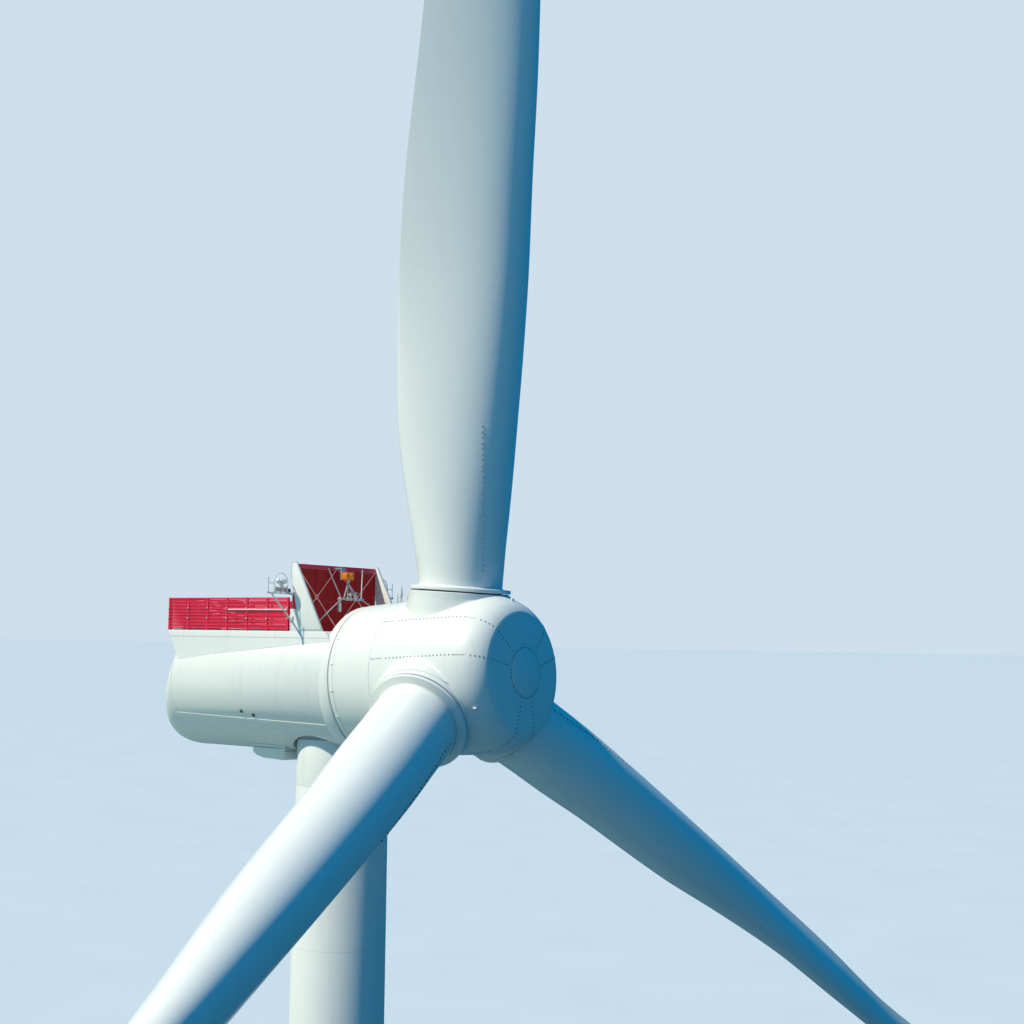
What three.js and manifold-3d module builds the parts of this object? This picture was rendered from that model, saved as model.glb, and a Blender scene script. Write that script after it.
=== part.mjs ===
// Head of an offshore wind turbine: nacelle, hub with three blades and the upper tower section.
// It is a 1:10 scale model. Lengths are written as full-size metres times M, the model's
// millimetres for one full-size metre. +Z is up and +X points forward, out of the nose.
import * as THREE from "three";
import { mergeVertices } from "three/addons/utils/BufferGeometryUtils.js";
import Module from "manifold-3d";

const M = 100;

// Seats and running gaps, in model millimetres.
const SEAT_GAP = 0.3;
const BEARING_GAP = 0.5;
const RUNNING_GAP = 6;

// Tower section. Its flange face is z = 0 and the yaw axis is x = y = 0.
const TOWER_SEAM = 21 * M;
const TOWER_TOP = 1.9 * M;
const TOWER_RADIUS_BOTTOM = 2.02 * M;
const TOWER_RADIUS_TOP = 1.92 * M;
const TOWER_WALL = 0.05 * M;
const FLANGE_WIDTH = 0.28 * M;
const FLANGE_HEIGHT = 0.16 * M;
const FLOOR_HEIGHT = 0.08 * M;
const YAW_RING_RADIUS = 1.9 * M;
const YAW_RING_WIDTH = 0.3 * M;
const YAW_RING_HEIGHT = 0.2 * M;

// Nacelle, in a group that starts a little ahead of the yaw axis, at the tower's upper seam.
const NACELLE_X = 0.3 * M;
const CANOPY_SEAM_X = -7.72 * M;
const CANOPY_REAR_Z = 4.18 * M;
const CANOPY_REAR_RADIUS = 2.87 * M;
const CANOPY_FRONT_X = 1.6 * M;
const CANOPY_FRONT_Z = 4.35 * M;
const CANOPY_FRONT_RADIUS = 3.11 * M;
const CANOPY_DOME_DEPTH = 0.67 * M;
const CANOPY_DOME_LEAST = 0.1 * M;
const CANOPY_DOME_LEAN = 0.57;
const CANOPY_DOME_POWER = 3.14;
const CANOPY_DOME_STEPS = 8;
const CANOPY_DOME_TIP = 0.05;
const SHELL_SPLIT_Z = 2.59 * M;
const SHELL_SPLIT_SLOPE = THREE.MathUtils.degToRad(1.4);
const FRONT_RING_X = 0.96 * M;
const DECK_HALF_WIDTH = 2.65 * M;
const DECK_Z = 6.36 * M;
const DECK_REAR_X = -8.25 * M;
const DECK_REAR_FOOT_X = -7.34 * M;
const DECK_FRONT_X = 0.82 * M;
const DECK_FRONT_FOOT_X = 1.2 * M;
const DECK_FRONT_FOOT_Z = 5.9 * M;
const DECK_BODY_Z = 6.02 * M;
const FLOOR_INSET = 0.04 * M;
const FLOOR_THICKNESS = 0.05 * M;
const TRUNK_FOOT_Z = 4.75 * M;
const TRUNK_FOOT_HALF_WIDTH = 2.76 * M;
const TRUNK_WALL_FOOT_Z = 6.08 * M;
const TOWER_HOLE_RADIUS = 2.08 * M;
const BELLY_HALF_WIDTH = 1.25 * M;
const BELLY_TOP_Z = 1.7 * M;
const BELLY_FOOT = [
  [-4.3 * M, 1.2 * M],
  [-4.05 * M, 1.06 * M],
  [-3.65 * M, 0.97 * M],
  [-2.48 * M, 0.92 * M],
];

// Guard rail round the hoisting deck.
const RAIL_REAR_X = -8.2 * M;
const RAIL_FRONT_X = -1.22 * M;
const RAIL_TOP_Z = 7.75 * M;
const RAIL_FOOT_Z = DECK_Z + SEAT_GAP;
const RAIL_POST = 0.09 * M;
const RAIL_BAR = 0.07 * M;
const RAIL_BAYS = 6;
const RAIL_REAR_BAYS = 5;
const RAIL_BARS = 10;
const RAIL_LOWEST_BAR = 0.1 * M;
const RAIL_HEIGHT = 1.35 * M;

// Roof cooler between its two fins.
const FIN_TOP_Z = 9.21 * M;
const FIN_THICKNESS = 0.08 * M;
const FIN_TOP_BACK_X = -1.06 * M;
const FIN_TOP_FRONT_X = -0.8 * M;
const FIN_FOOT_FRONT_X = 0.7 * M;
const FIN_FOOT_BACK_X = -0.58 * M;
const FIN_INNER_Y = DECK_HALF_WIDTH - FIN_THICKNESS;
const FIN_TOP_CHAMFER = [0.06 * M, 0.15 * M];
const FIN_BACK_BENDS = [
  [-1.05 * M, 8.5 * M],
  [-0.91 * M, 8.05 * M],
];
const GUSSET_TOP_Z = 7.27 * M;
const GUSSET_BACK_X = -1.07 * M;
const GUSSET_FRONT_X = -0.73 * M;
const GUSSET_THICKNESS = 0.05 * M;
const COOLER_FRONT_X = -0.88 * M;
const COOLER_BACK_X = -1.02 * M;
const COOLER_FOOT_Z = 6.45 * M;
const COOLER_FOOT_INSET = 0.04 * M;
const BEAM_FOOT_Z = 8.98 * M;
const BEAM_TOP_Z = 9.15 * M;
const BEAM_FRONT_X = -0.88 * M;
const STAY_RADIUS = 0.03 * M;
const STAY_TOP_Z = 9.08 * M;
const STAY_FOOT_Z = 6.52 * M;
const STAY_CENTRE_GAP = 0.02 * M;
const STAY_OVERRUN = 0.05 * M;

// Sensor frame and beacon in front of the cooler.
const SENSOR_X = -0.3 * M;
const SENSOR_BAR_Z = 7.75 * M;
const SENSOR_BAR_Y = [-0.35 * M, 0.95 * M];
const SENSOR_BAR_ENDS = [-0.55 * M, 1.1 * M];
const SENSOR_BAR_RADIUS = 0.045 * M;
const SENSOR_ROD_RADIUS = 0.028 * M;
const SENSOR_APEX = [-0.3 * M, 0.05 * M, 8.44 * M];
const SENSOR_LEGS_Y = [-0.2 * M, 0.05 * M, 0.8 * M];
const SENSOR_HANGERS_Y = [-0.61 * M, 1.64 * M];
const SENSOR_HANGER_X = -0.85 * M;
const SENSOR_HANGER_Z = 9.06 * M;
const SENSOR_STRUT_X = 0.4 * M;
const SENSOR_STRUT_Z = 6.75 * M;
const BEACON_SIZE = [0.3 * M, 0.5 * M, 0.3 * M];
const BEACON_FOOT_Z = 8.56 * M;
const BEACON_STEM_RADIUS = 0.09 * M;
const BEACON_ARM_Z = [9.02 * M, 9.08 * M];
const BEACON_ARM_WIDTH = 0.3 * M;
const BEACON_ARM_THICKNESS = 0.05 * M;

// Instruments on the sensor frame's cross-bar: distance across, height of the far end, radius.
const INSTRUMENTS = [
  [-0.45 * M, 7.2 * M, 0.06 * M],
  [0.25 * M, 7.91 * M, 0.05 * M],
  [0.55 * M, 7.97 * M, 0.07 * M],
];

// Antenna rack: a post with a level bar, and antennas as distance along, top and radius.
const RACK_POST_X = 0.76 * M;
const RACK_BAR_X = [0.26 * M, 1.05 * M];
const RACK_BAR_Z = 7.6 * M;
const RACK_BAR_RADIUS = 0.045 * M;
const RACK_INSET = 0.05 * M;
const ANTENNAS = [
  [0.42 * M, 7.95 * M, 0.03 * M],
  [0.62 * M, 8.25 * M, 0.05 * M],
  [0.98 * M, 7.85 * M, 0.03 * M],
];

// Light brackets, one at each fin: a shelf that stands out from the side of the nacelle.
const LIGHT_X = -1.08 * M;
const LIGHT_SHELF_HALF = 0.05 * M;
const LIGHT_SHELF_Z = 7.87 * M;
const LIGHT_SHELF_THICKNESS = 0.06 * M;
const LIGHT_REACH = 4.05 * M;
const LIGHT_PLATE_THICKNESS = 0.06 * M;
const LIGHT_PLATE_HEIGHT = 0.12 * M;
const LIGHT_PLATE_X = [-1.13 * M, -0.8 * M];
const LIGHT_STRUT_Y = 3.78 * M;
const LIGHT_STRUT_FOOT = [-0.97 * M, 6.86 * M];
const LIGHT_STRUT_RADIUS = 0.045 * M;
const LIGHT_PAD_X = [-1.05 * M, -0.89 * M];
const LIGHT_PAD_Z = [6.78 * M, 6.98 * M];
const LIGHT_TUBE_RADIUS = 0.03 * M;
const LIGHT_POST_Y = 3.98 * M;
const LIGHT_POST_TOP = 8.55 * M;
const LIGHT_HOOP_Y = 3.24 * M;
const LIGHT_HOOP_RADIUS = 0.41 * M;
const LIGHT_HOOP_Z = 8.32 * M;
const LIGHT_HOOP_PARTS = 6;
const LAMP_BOX_Y = [2.86 * M, 3.6 * M];
const LAMP_BOX_HALF = 0.1 * M;
const LAMP_BOX_TOP = 8.17 * M;
const LAMP_Y = 3.2 * M;
const LAMP_TOP = 8.5 * M;
const LAMP_SKIRT_RADIUS = 0.28 * M;
const LAMP_NECK_RADIUS = 0.12 * M;
const LAMP_NECK_SHARE = 0.4;
const LAMP_SKIRT_SHARE = 0.6;

// Rotor, in a group at the hub centre whose X axis is the tilted shaft axis.
const HUB_X = 5.475 * M;
const HUB_Z = 4.64 * M;
const SHAFT_TILT = THREE.MathUtils.degToRad(3.7);
const GENERATOR_REAR_RADIUS = 3.1 * M;
const GENERATOR_RADIUS = 3.14 * M;
const GENERATOR_REAR_X = -4.0 * M;
const GENERATOR_BAND_X = -3.78 * M;
const GENERATOR_FRONT_X = -1.95 * M;
const BAND_CHAMFER = 0.05 * M;
const BAND_STEP = 0.01 * M;
const MAIN_BEARING_RADIUS = 1.6 * M;
const SPINNER_CURVE_X = 1.27 * M;
const SPINNER_FRONT_X = 3.5 * M;
const SPINNER_FACE_RADIUS = 1.4 * M;
const SPINNER_CURVE_POWER = 2.88;
const SPINNER_CURVE_STEPS = 9;
const NOSE_DISC_RADIUS = 2.36 * M;
const NOSE_RADIUS = 1.0 * M;
const NOSE_HEIGHT = 0.04 * M;
const BLADE_COUNT = 3;
const BLADE_CONE = THREE.MathUtils.degToRad(6.9);
const PARKED_ANGLE = THREE.MathUtils.degToRad(0.3);
const COLLAR_FOOT = 3.1 * M;
const COLLAR_TOP = 3.36 * M;
const COLLAR_RADIUS = 2.05 * M;
const BOSS_FLARE = [
  [0.42 * M, 1.7 * M],
  [0.28 * M, 2.1 * M],
  [0.17 * M, 2.4 * M],
  [0.1 * M, 2.8 * M],
];
const POCKET_TOP = 5 * M;
const BLADE_RING_HEIGHT = 0.24 * M;
const BLADE_RING_EDGE = 0.1 * M;

// Blade: distance from the root, chord, thickness ratio, twist in degrees at the parked
// pitch, where the pitch axis lies along the chord, and how far the section sits upwind.
const BLADE_STATIONS = [
  [0, 3.4, 1, 54, 0.5, 0],
  [0.4, 3.4, 1, 54, 0.5, 0],
  [2, 3.75, 0.91, 53, 0.45, 0.06],
  [4, 4.3, 0.8, 52, 0.4, 0.12],
  [6.5, 4.8, 0.68, 50, 0.36, 0.18],
  [9.5, 5.1, 0.6, 47, 0.35, 0.18],
  [13, 5.3, 0.52, 44, 0.34, 0.18],
  [17, 5.25, 0.43, 42, 0.32, 0.23],
  [22, 5.0, 0.34, 39.5, 0.33, 0.2],
  [28, 4.6, 0.31, 37.5, 0.36, -0.1],
  [36, 3.7, 0.28, 38, 0.39, -0.6],
  [46, 3.0, 0.24, 36, 0.38, -0.45],
  [54, 2.65, 0.22, 33, 0.36, -0.35],
  [62, 2.15, 0.2, 31, 0.34, -0.25],
  [69, 1.7, 0.19, 29.5, 0.33, -0.15],
  [74, 1.25, 0.18, 28.5, 0.33, 0],
  [76.5, 0.8, 0.18, 28, 0.34, 0.1],
  [77.6, 0.3, 0.18, 28, 0.36, 0.15],
];
const SECTION_POINTS = 22;

// The root stays round up to here, and the section is a full aerofoil at the further distance.
const ROUND_UNTIL = 1;
const AEROFOIL_FROM = 13;
const ROUND_POWER = 1.3;

// Half thickness of the standard four-digit aerofoil at unit thickness.
const FOIL_SCALE = 5;
const FOIL_ROOT_TERM = 0.2969;
const FOIL_TERMS = [-0.126, -0.3516, 0.2843, -0.1016];

// Half the side of a block that is larger than the nacelle, for cuts.
const FAR = 12 * M;

// Sides of the round forms: drums, blade roots, small turned pieces, tubes and thin rods.
const ROUND = 48;
const COLLAR_ROUND = 40;
const SMALL_ROUND = 16;
const TUBE_SIDES = 8;
const THIN_SIDES = 6;

const wasm = await Module();
wasm.setup();

// One finish for each kind of surface.
function finish(colour, roughness, metalness = 0) {
  return new THREE.MeshStandardMaterial({ color: colour, roughness, metalness });
}

const WHITE = finish(0xdfe3e0, 0.45);
const TOWER_WHITE = finish(0xd8dcd8, 0.5);
const BLADE_WHITE = finish(0xe3e6e2, 0.35);
const GREY = finish(0x8f979b, 0.6);
const RED = finish(0xc01a2e, 0.5);
const DARK_RED = finish(0x6a0a0e, 0.6);
const GALVANISED = finish(0x9aa0a2, 0.45, 0.7);
const ORANGE = finish(0xe87414, 0.5);

// A closed geometry as a manifold solid, turned the right way out.
function solid(geometry) {
  const bare = geometry.clone();
  bare.deleteAttribute("normal");
  bare.deleteAttribute("uv");
  const merged = mergeVertices(bare, 1e-3);
  const triVerts = new Uint32Array(merged.index.array);
  const vertProperties = new Float32Array(merged.attributes.position.array);
  const made = new wasm.Manifold(new wasm.Mesh({ numProp: 3, vertProperties, triVerts }));
  if (made.volume() > 0) {
    return made;
  }
  for (let i = 0; i < triVerts.length; i += 3) {
    [triVerts[i + 1], triVerts[i + 2]] = [triVerts[i + 2], triVerts[i + 1]];
  }
  return new wasm.Manifold(new wasm.Mesh({ numProp: 3, vertProperties, triVerts }));
}

function geometryOf(made) {
  const mesh = made.getMesh();
  const position = new Float32Array(mesh.numVert * 3);
  for (let i = 0; i < mesh.numVert; i++) {
    position.set(mesh.vertProperties.subarray(i * mesh.numProp, i * mesh.numProp + 3), i * 3);
  }
  const geometry = new THREE.BufferGeometry();
  geometry.setAttribute("position", new THREE.BufferAttribute(position, 3));
  geometry.setIndex(new THREE.BufferAttribute(mesh.triVerts, 1));
  geometry.computeVertexNormals();
  return geometry;
}

function join(solids) {
  return solids.reduce((whole, next) => whole.add(next));
}

function box(x0, x1, y0, y1, z0, z1) {
  const geometry = new THREE.BoxGeometry(x1 - x0, y1 - y0, z1 - z0);
  geometry.translate((x0 + x1) / 2, (y0 + y1) / 2, (z0 + z1) / 2);
  return solid(geometry);
}

// A straight round bar between two points.
function rod(from, to, radius, sides = TUBE_SIDES) {
  const start = new THREE.Vector3(...from);
  const along = new THREE.Vector3(...to).sub(start);
  const geometry = new THREE.CylinderGeometry(radius, radius, along.length(), sides);
  geometry.translate(0, along.length() / 2, 0);
  const up = new THREE.Vector3(0, 1, 0);
  geometry.applyQuaternion(new THREE.Quaternion().setFromUnitVectors(up, along.normalize()));
  geometry.translate(start.x, start.y, start.z);
  return solid(geometry);
}

// A solid of revolution about Z, from radius and height pairs.
function turnedUp(profile, segments = ROUND) {
  const points = profile.map(([radius, height]) => new THREE.Vector2(radius, height));
  const geometry = new THREE.LatheGeometry(points, segments);
  geometry.rotateX(Math.PI / 2);
  return solid(geometry);
}

// A solid of revolution about X, from distance and radius pairs.
function turnedAlong(profile, segments = ROUND) {
  const points = profile.map(([distance, radius]) => new THREE.Vector2(radius, distance));
  const geometry = new THREE.LatheGeometry(points, segments);
  geometry.rotateZ(-Math.PI / 2);
  return solid(geometry);
}

// A flat plate: an outline in X and Z, extruded from y0 to y1.
function plate(outline, y0, y1) {
  const shape = new THREE.Shape(outline.map(([x, z]) => new THREE.Vector2(x, z)));
  const geometry = new THREE.ExtrudeGeometry(shape, { depth: y1 - y0, bevelEnabled: false });
  geometry.rotateX(Math.PI / 2);
  geometry.translate(0, y1, 0);
  return solid(geometry);
}

// A solid placed by a matrix.
function placed(made, matrix) {
  return made.transform(matrix.elements);
}

function node(group, name, made, material) {
  const mesh = new THREE.Mesh(geometryOf(made), material);
  mesh.name = name;
  group.add(mesh);
}

// The hub centre's frame in the nacelle, with X along the tilted shaft.
function shaftFrame() {
  const frame = new THREE.Matrix4().makeRotationY(-SHAFT_TILT);
  return frame.setPosition(HUB_X, 0, HUB_Z);
}

const root = new THREE.Group();
const nacelle = new THREE.Group();
nacelle.position.set(NACELLE_X, 0, TOWER_SEAM);
root.add(nacelle);
const rotor = new THREE.Group();
rotor.position.set(HUB_X, 0, HUB_Z);
rotor.rotation.y = -SHAFT_TILT;
nacelle.add(rotor);

// Tower: a rolled steel shell with a bolting flange and a floor plate at its lower end.
function buildTower() {
  const top = TOWER_SEAM + TOWER_TOP;
  const inner = TOWER_RADIUS_BOTTOM - TOWER_WALL;
  const slope = (TOWER_RADIUS_TOP - TOWER_RADIUS_BOTTOM) / top;
  const shell = (from, to) => {
    const low = TOWER_RADIUS_BOTTOM + slope * from;
    const high = TOWER_RADIUS_BOTTOM + slope * to;
    return turnedUp([
      [low, from],
      [high, to],
      [high - TOWER_WALL, to],
      [low - TOWER_WALL, from],
      [low, from],
    ]);
  };
  node(root, "tower_section", shell(0, TOWER_SEAM), TOWER_WHITE);
  node(root, "tower_top_section", shell(TOWER_SEAM + SEAT_GAP, top), TOWER_WHITE);
  const flangeOuter = inner - 2 * SEAT_GAP;
  const flangeInner = flangeOuter - FLANGE_WIDTH;
  node(root, "tower_flange", turnedUp([
    [flangeInner, 0],
    [flangeOuter, 0],
    [flangeOuter, FLANGE_HEIGHT],
    [flangeInner, FLANGE_HEIGHT],
    [flangeInner, 0],
  ]), GALVANISED);
  node(root, "tower_floor", turnedUp([
    [0, 0],
    [flangeInner - SEAT_GAP, 0],
    [flangeInner - SEAT_GAP, FLOOR_HEIGHT],
    [0, FLOOR_HEIGHT],
  ]), GREY);
  node(root, "yaw_ring", turnedUp([
    [YAW_RING_RADIUS - YAW_RING_WIDTH, top],
    [YAW_RING_RADIUS, top],
    [YAW_RING_RADIUS, top + YAW_RING_HEIGHT],
    [YAW_RING_RADIUS - YAW_RING_WIDTH, top + YAW_RING_HEIGHT],
    [YAW_RING_RADIUS - YAW_RING_WIDTH, top],
  ]).translate([0, 0, SEAT_GAP]), GREY);
}

// The canopy's outer form: a slightly tapered drum, closed by a flat dome that leans backwards
// towards its foot.
function canopyForm(grow = 0) {
  const length = CANOPY_FRONT_X - CANOPY_SEAM_X;
  const ring = (radius, along) => {
    const points = [];
    for (let k = 0; k < ROUND; k++) {
      const turn = (2 * Math.PI * k) / ROUND;
      const z = radius * Math.cos(turn);
      points.push([along(z), radius * Math.sin(turn), z]);
    }
    return points;
  };
  const rings = [ring(CANOPY_FRONT_RADIUS + grow, () => length)];
  const power = 2 / CANOPY_DOME_POWER;
  for (let i = 0; i < CANOPY_DOME_STEPS; i++) {
    const share = (i / (CANOPY_DOME_STEPS - 1)) * (1 - CANOPY_DOME_TIP);
    const angle = (Math.PI / 2) * share;
    const inward = Math.cos(angle) ** power;
    const back = i === 0 ? 0 : Math.sin(angle) ** power;
    rings.push(ring((CANOPY_REAR_RADIUS + grow) * inward, (z) => {
      const depth = Math.max(CANOPY_DOME_DEPTH - CANOPY_DOME_LEAN * z, CANOPY_DOME_LEAST);
      return -back * depth - grow;
    }));
  }
  const slope = Math.atan2(CANOPY_FRONT_Z - CANOPY_REAR_Z, length);
  const place = new THREE.Matrix4().makeRotationY(-slope);
  place.setPosition(CANOPY_SEAM_X, 0, CANOPY_REAR_Z);
  return placed(loft(rings), place);
}

// The half space behind the plane that the generator's rear face runs past.
function behindGroove() {
  const edge = GENERATOR_REAR_X - RUNNING_GAP;
  return placed(box(edge - 2 * FAR, edge, -FAR, FAR, -FAR, FAR), shaftFrame());
}

function towerHole() {
  const ceiling = TOWER_TOP + SEAT_GAP + YAW_RING_HEIGHT + BEARING_GAP;
  return turnedUp([
    [0, 0],
    [TOWER_HOLE_RADIUS, 0],
    [TOWER_HOLE_RADIUS, ceiling],
    [0, ceiling],
  ]).translate([-NACELLE_X, 0, 0]);
}

// Everything below the seam between the lower and upper canopy shells, which falls forwards.
function belowSplit(drop) {
  const place = new THREE.Matrix4().makeRotationY(SHELL_SPLIT_SLOPE);
  place.setPosition(0, 0, SHELL_SPLIT_Z - drop);
  return placed(box(-FAR, FAR, -FAR, FAR, -FAR, 0), place);
}

function buildCanopy() {
  const form = canopyForm().intersect(behindGroove());
  const seam = CANOPY_SEAM_X;
  const body = form.intersect(box(seam, FRONT_RING_X - SEAT_GAP, -FAR, FAR, 0, DECK_BODY_Z));
  const lower = body.intersect(belowSplit(SEAT_GAP));
  const upper = body.subtract(belowSplit(0));
  const cap = form.intersect(box(-FAR, seam - SEAT_GAP, -FAR, FAR, 0, DECK_BODY_Z));
  const ring = form.intersect(box(FRONT_RING_X, FAR, -FAR, FAR, 0, FAR));
  node(nacelle, "canopy_lower_shell", lower.subtract(towerHole()), WHITE);
  node(nacelle, "canopy_upper_shell", upper, WHITE);
  node(nacelle, "canopy_end_cap", cap, WHITE);
  node(nacelle, "canopy_front_ring", ring.subtract(towerHole()), WHITE);
}

function buildDeck() {
  const half = DECK_HALF_WIDTH;
  const wide = TRUNK_FOOT_HALF_WIDTH;
  const outline = [
    [DECK_REAR_X, DECK_Z],
    [DECK_REAR_FOOT_X, TRUNK_FOOT_Z],
    [DECK_FRONT_FOOT_X, TRUNK_FOOT_Z],
    [DECK_FRONT_FOOT_X, DECK_FRONT_FOOT_Z],
    [DECK_FRONT_X, DECK_Z],
  ];
  const roof = box(-FAR, FRONT_RING_X - SEAT_GAP, -FAR, FAR, DECK_BODY_Z + SEAT_GAP, FAR);
  const body = canopyForm(SEAT_GAP).subtract(roof);
  const turn = new THREE.Matrix4().makeRotationZ(Math.PI / 2);
  const section = [
    [-half, DECK_Z],
    [-half, TRUNK_WALL_FOOT_Z],
    [-wide, TRUNK_FOOT_Z],
    [wide, TRUNK_FOOT_Z],
    [half, TRUNK_WALL_FOOT_Z],
    [half, DECK_Z],
  ];
  const block = plate(outline, -wide, wide).intersect(placed(plate(section, -FAR, FAR), turn));
  const trunk = block.subtract(body).decompose();
  trunk.sort((a, b) => b.volume() - a.volume());
  node(nacelle, "deck_trunk", trunk[0], WHITE);
  const inset = RAIL_POST + FLOOR_INSET;
  node(nacelle, "deck_floor", box(
    RAIL_REAR_X + inset, RAIL_FRONT_X,
    -half + inset, half - inset,
    DECK_Z + SEAT_GAP, DECK_Z + FLOOR_THICKNESS,
  ), GREY);
}

// One straight run of guard rail: posts, and level bars between them.
function railRun(from, to, bays) {
  const start = new THREE.Vector2(...from);
  const run = new THREE.Vector2(...to).sub(start);
  const angle = run.angle();
  const length = run.length();
  const halfPost = RAIL_POST / 2;
  const halfBar = RAIL_BAR / 2;
  const pieces = [];
  for (let i = 0; i <= bays; i++) {
    const x = (length * i) / bays;
    pieces.push(box(x - halfPost, x + halfPost, -halfPost, halfPost, RAIL_FOOT_Z, RAIL_TOP_Z));
  }
  for (let i = 0; i < RAIL_BARS; i++) {
    const height = RAIL_LOWEST_BAR + ((RAIL_HEIGHT - RAIL_LOWEST_BAR) * i) / (RAIL_BARS - 1);
    const z = RAIL_FOOT_Z + height - halfBar;
    pieces.push(box(-halfPost, length + halfPost, -halfBar, halfBar, z, z + RAIL_BAR));
  }
  const place = new THREE.Matrix4().makeRotationZ(angle);
  place.setPosition(start.x, start.y, 0);
  return placed(join(pieces), place);
}

function buildRails() {
  const side = DECK_HALF_WIDTH - RAIL_POST / 2;
  const rear = RAIL_REAR_X;
  const clear = RAIL_POST + SEAT_GAP;
  node(nacelle, "rail_right", railRun([rear, -side], [RAIL_FRONT_X, -side], RAIL_BAYS), RED);
  node(nacelle, "rail_left", railRun([rear, side], [RAIL_FRONT_X, side], RAIL_BAYS), RED);
  const rearRun = railRun([rear, -side + clear], [rear, side - clear], RAIL_REAR_BAYS);
  node(nacelle, "rail_rear", rearRun, RED);
}

// The two crossed stays of one cooler bay, with the ring that joins them.
function crossStays(side) {
  const inner = FIN_INNER_Y - SEAT_GAP;
  const over = STAY_OVERRUN;
  const x = BEAM_FRONT_X + SEAT_GAP + STAY_RADIUS;
  const at = (y, z) => [x, side * y, z];
  const [near, far] = [side * STAY_CENTRE_GAP, side * inner].sort((a, b) => a - b);
  const bay = box(x - over, x + over, near, far, DECK_Z, BEACON_ARM_Z[0] - SEAT_GAP);
  const ring = turnedAlong([
    [-STAY_RADIUS, 2 * STAY_RADIUS],
    [-STAY_RADIUS, 4 * STAY_RADIUS],
    [STAY_RADIUS, 4 * STAY_RADIUS],
    [STAY_RADIUS, 2 * STAY_RADIUS],
    [-STAY_RADIUS, 2 * STAY_RADIUS],
  ], SMALL_ROUND).translate(at(inner / 2, (STAY_TOP_Z + STAY_FOOT_Z) / 2));
  const rods = join([
    rod(at(0, STAY_TOP_Z), at(inner, STAY_FOOT_Z), STAY_RADIUS, THIN_SIDES),
    rod(at(inner, STAY_TOP_Z), at(0, STAY_FOOT_Z), STAY_RADIUS, THIN_SIDES),
  ]);
  return ring.add(rods.intersect(bay));
}

function buildCooler() {
  const half = DECK_HALF_WIDTH;
  const finFoot = DECK_Z + SEAT_GAP;
  const [chamferX, chamferZ] = FIN_TOP_CHAMFER;
  const fin = [
    [FIN_TOP_FRONT_X, FIN_TOP_Z],
    [FIN_TOP_BACK_X + chamferX, FIN_TOP_Z],
    [FIN_TOP_BACK_X, FIN_TOP_Z - chamferZ],
    ...FIN_BACK_BENDS,
    [GUSSET_FRONT_X, GUSSET_TOP_Z],
    [FIN_FOOT_BACK_X, finFoot],
    [FIN_FOOT_FRONT_X, finFoot],
  ];
  const gusset = [
    [GUSSET_BACK_X, finFoot],
    [GUSSET_BACK_X, GUSSET_TOP_Z],
    [GUSSET_FRONT_X - SEAT_GAP, GUSSET_TOP_Z],
    [FIN_FOOT_BACK_X - SEAT_GAP, finFoot],
  ];
  for (const [name, side] of [["right", -1], ["left", 1]]) {
    const faces = [side * FIN_INNER_Y, side * half].sort((a, b) => a - b);
    const thin = [side * (half - GUSSET_THICKNESS), side * half].sort((a, b) => a - b);
    node(nacelle, "cooler_fin_" + name, plate(fin, ...faces), WHITE);
    node(nacelle, "fin_gusset_" + name, plate(gusset, ...thin), WHITE);
    node(nacelle, "cooler_stays_" + name, crossStays(side), GALVANISED);
  }
  const edge = FIN_INNER_Y - SEAT_GAP;
  const beamFoot = BEAM_FOOT_Z - SEAT_GAP;
  node(nacelle, "cooler_core", box(
    COOLER_BACK_X, COOLER_FRONT_X, -edge, edge, COOLER_FOOT_Z, beamFoot - SEAT_GAP,
  ).add(box(
    COOLER_BACK_X, COOLER_FRONT_X - COOLER_FOOT_INSET, -edge, edge, finFoot, COOLER_FOOT_Z,
  )), DARK_RED);
  node(nacelle, "cooler_top_beam", box(
    COOLER_BACK_X, BEAM_FRONT_X, -edge, edge, BEAM_FOOT_Z, BEAM_TOP_Z,
  ), RED);
}

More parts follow.
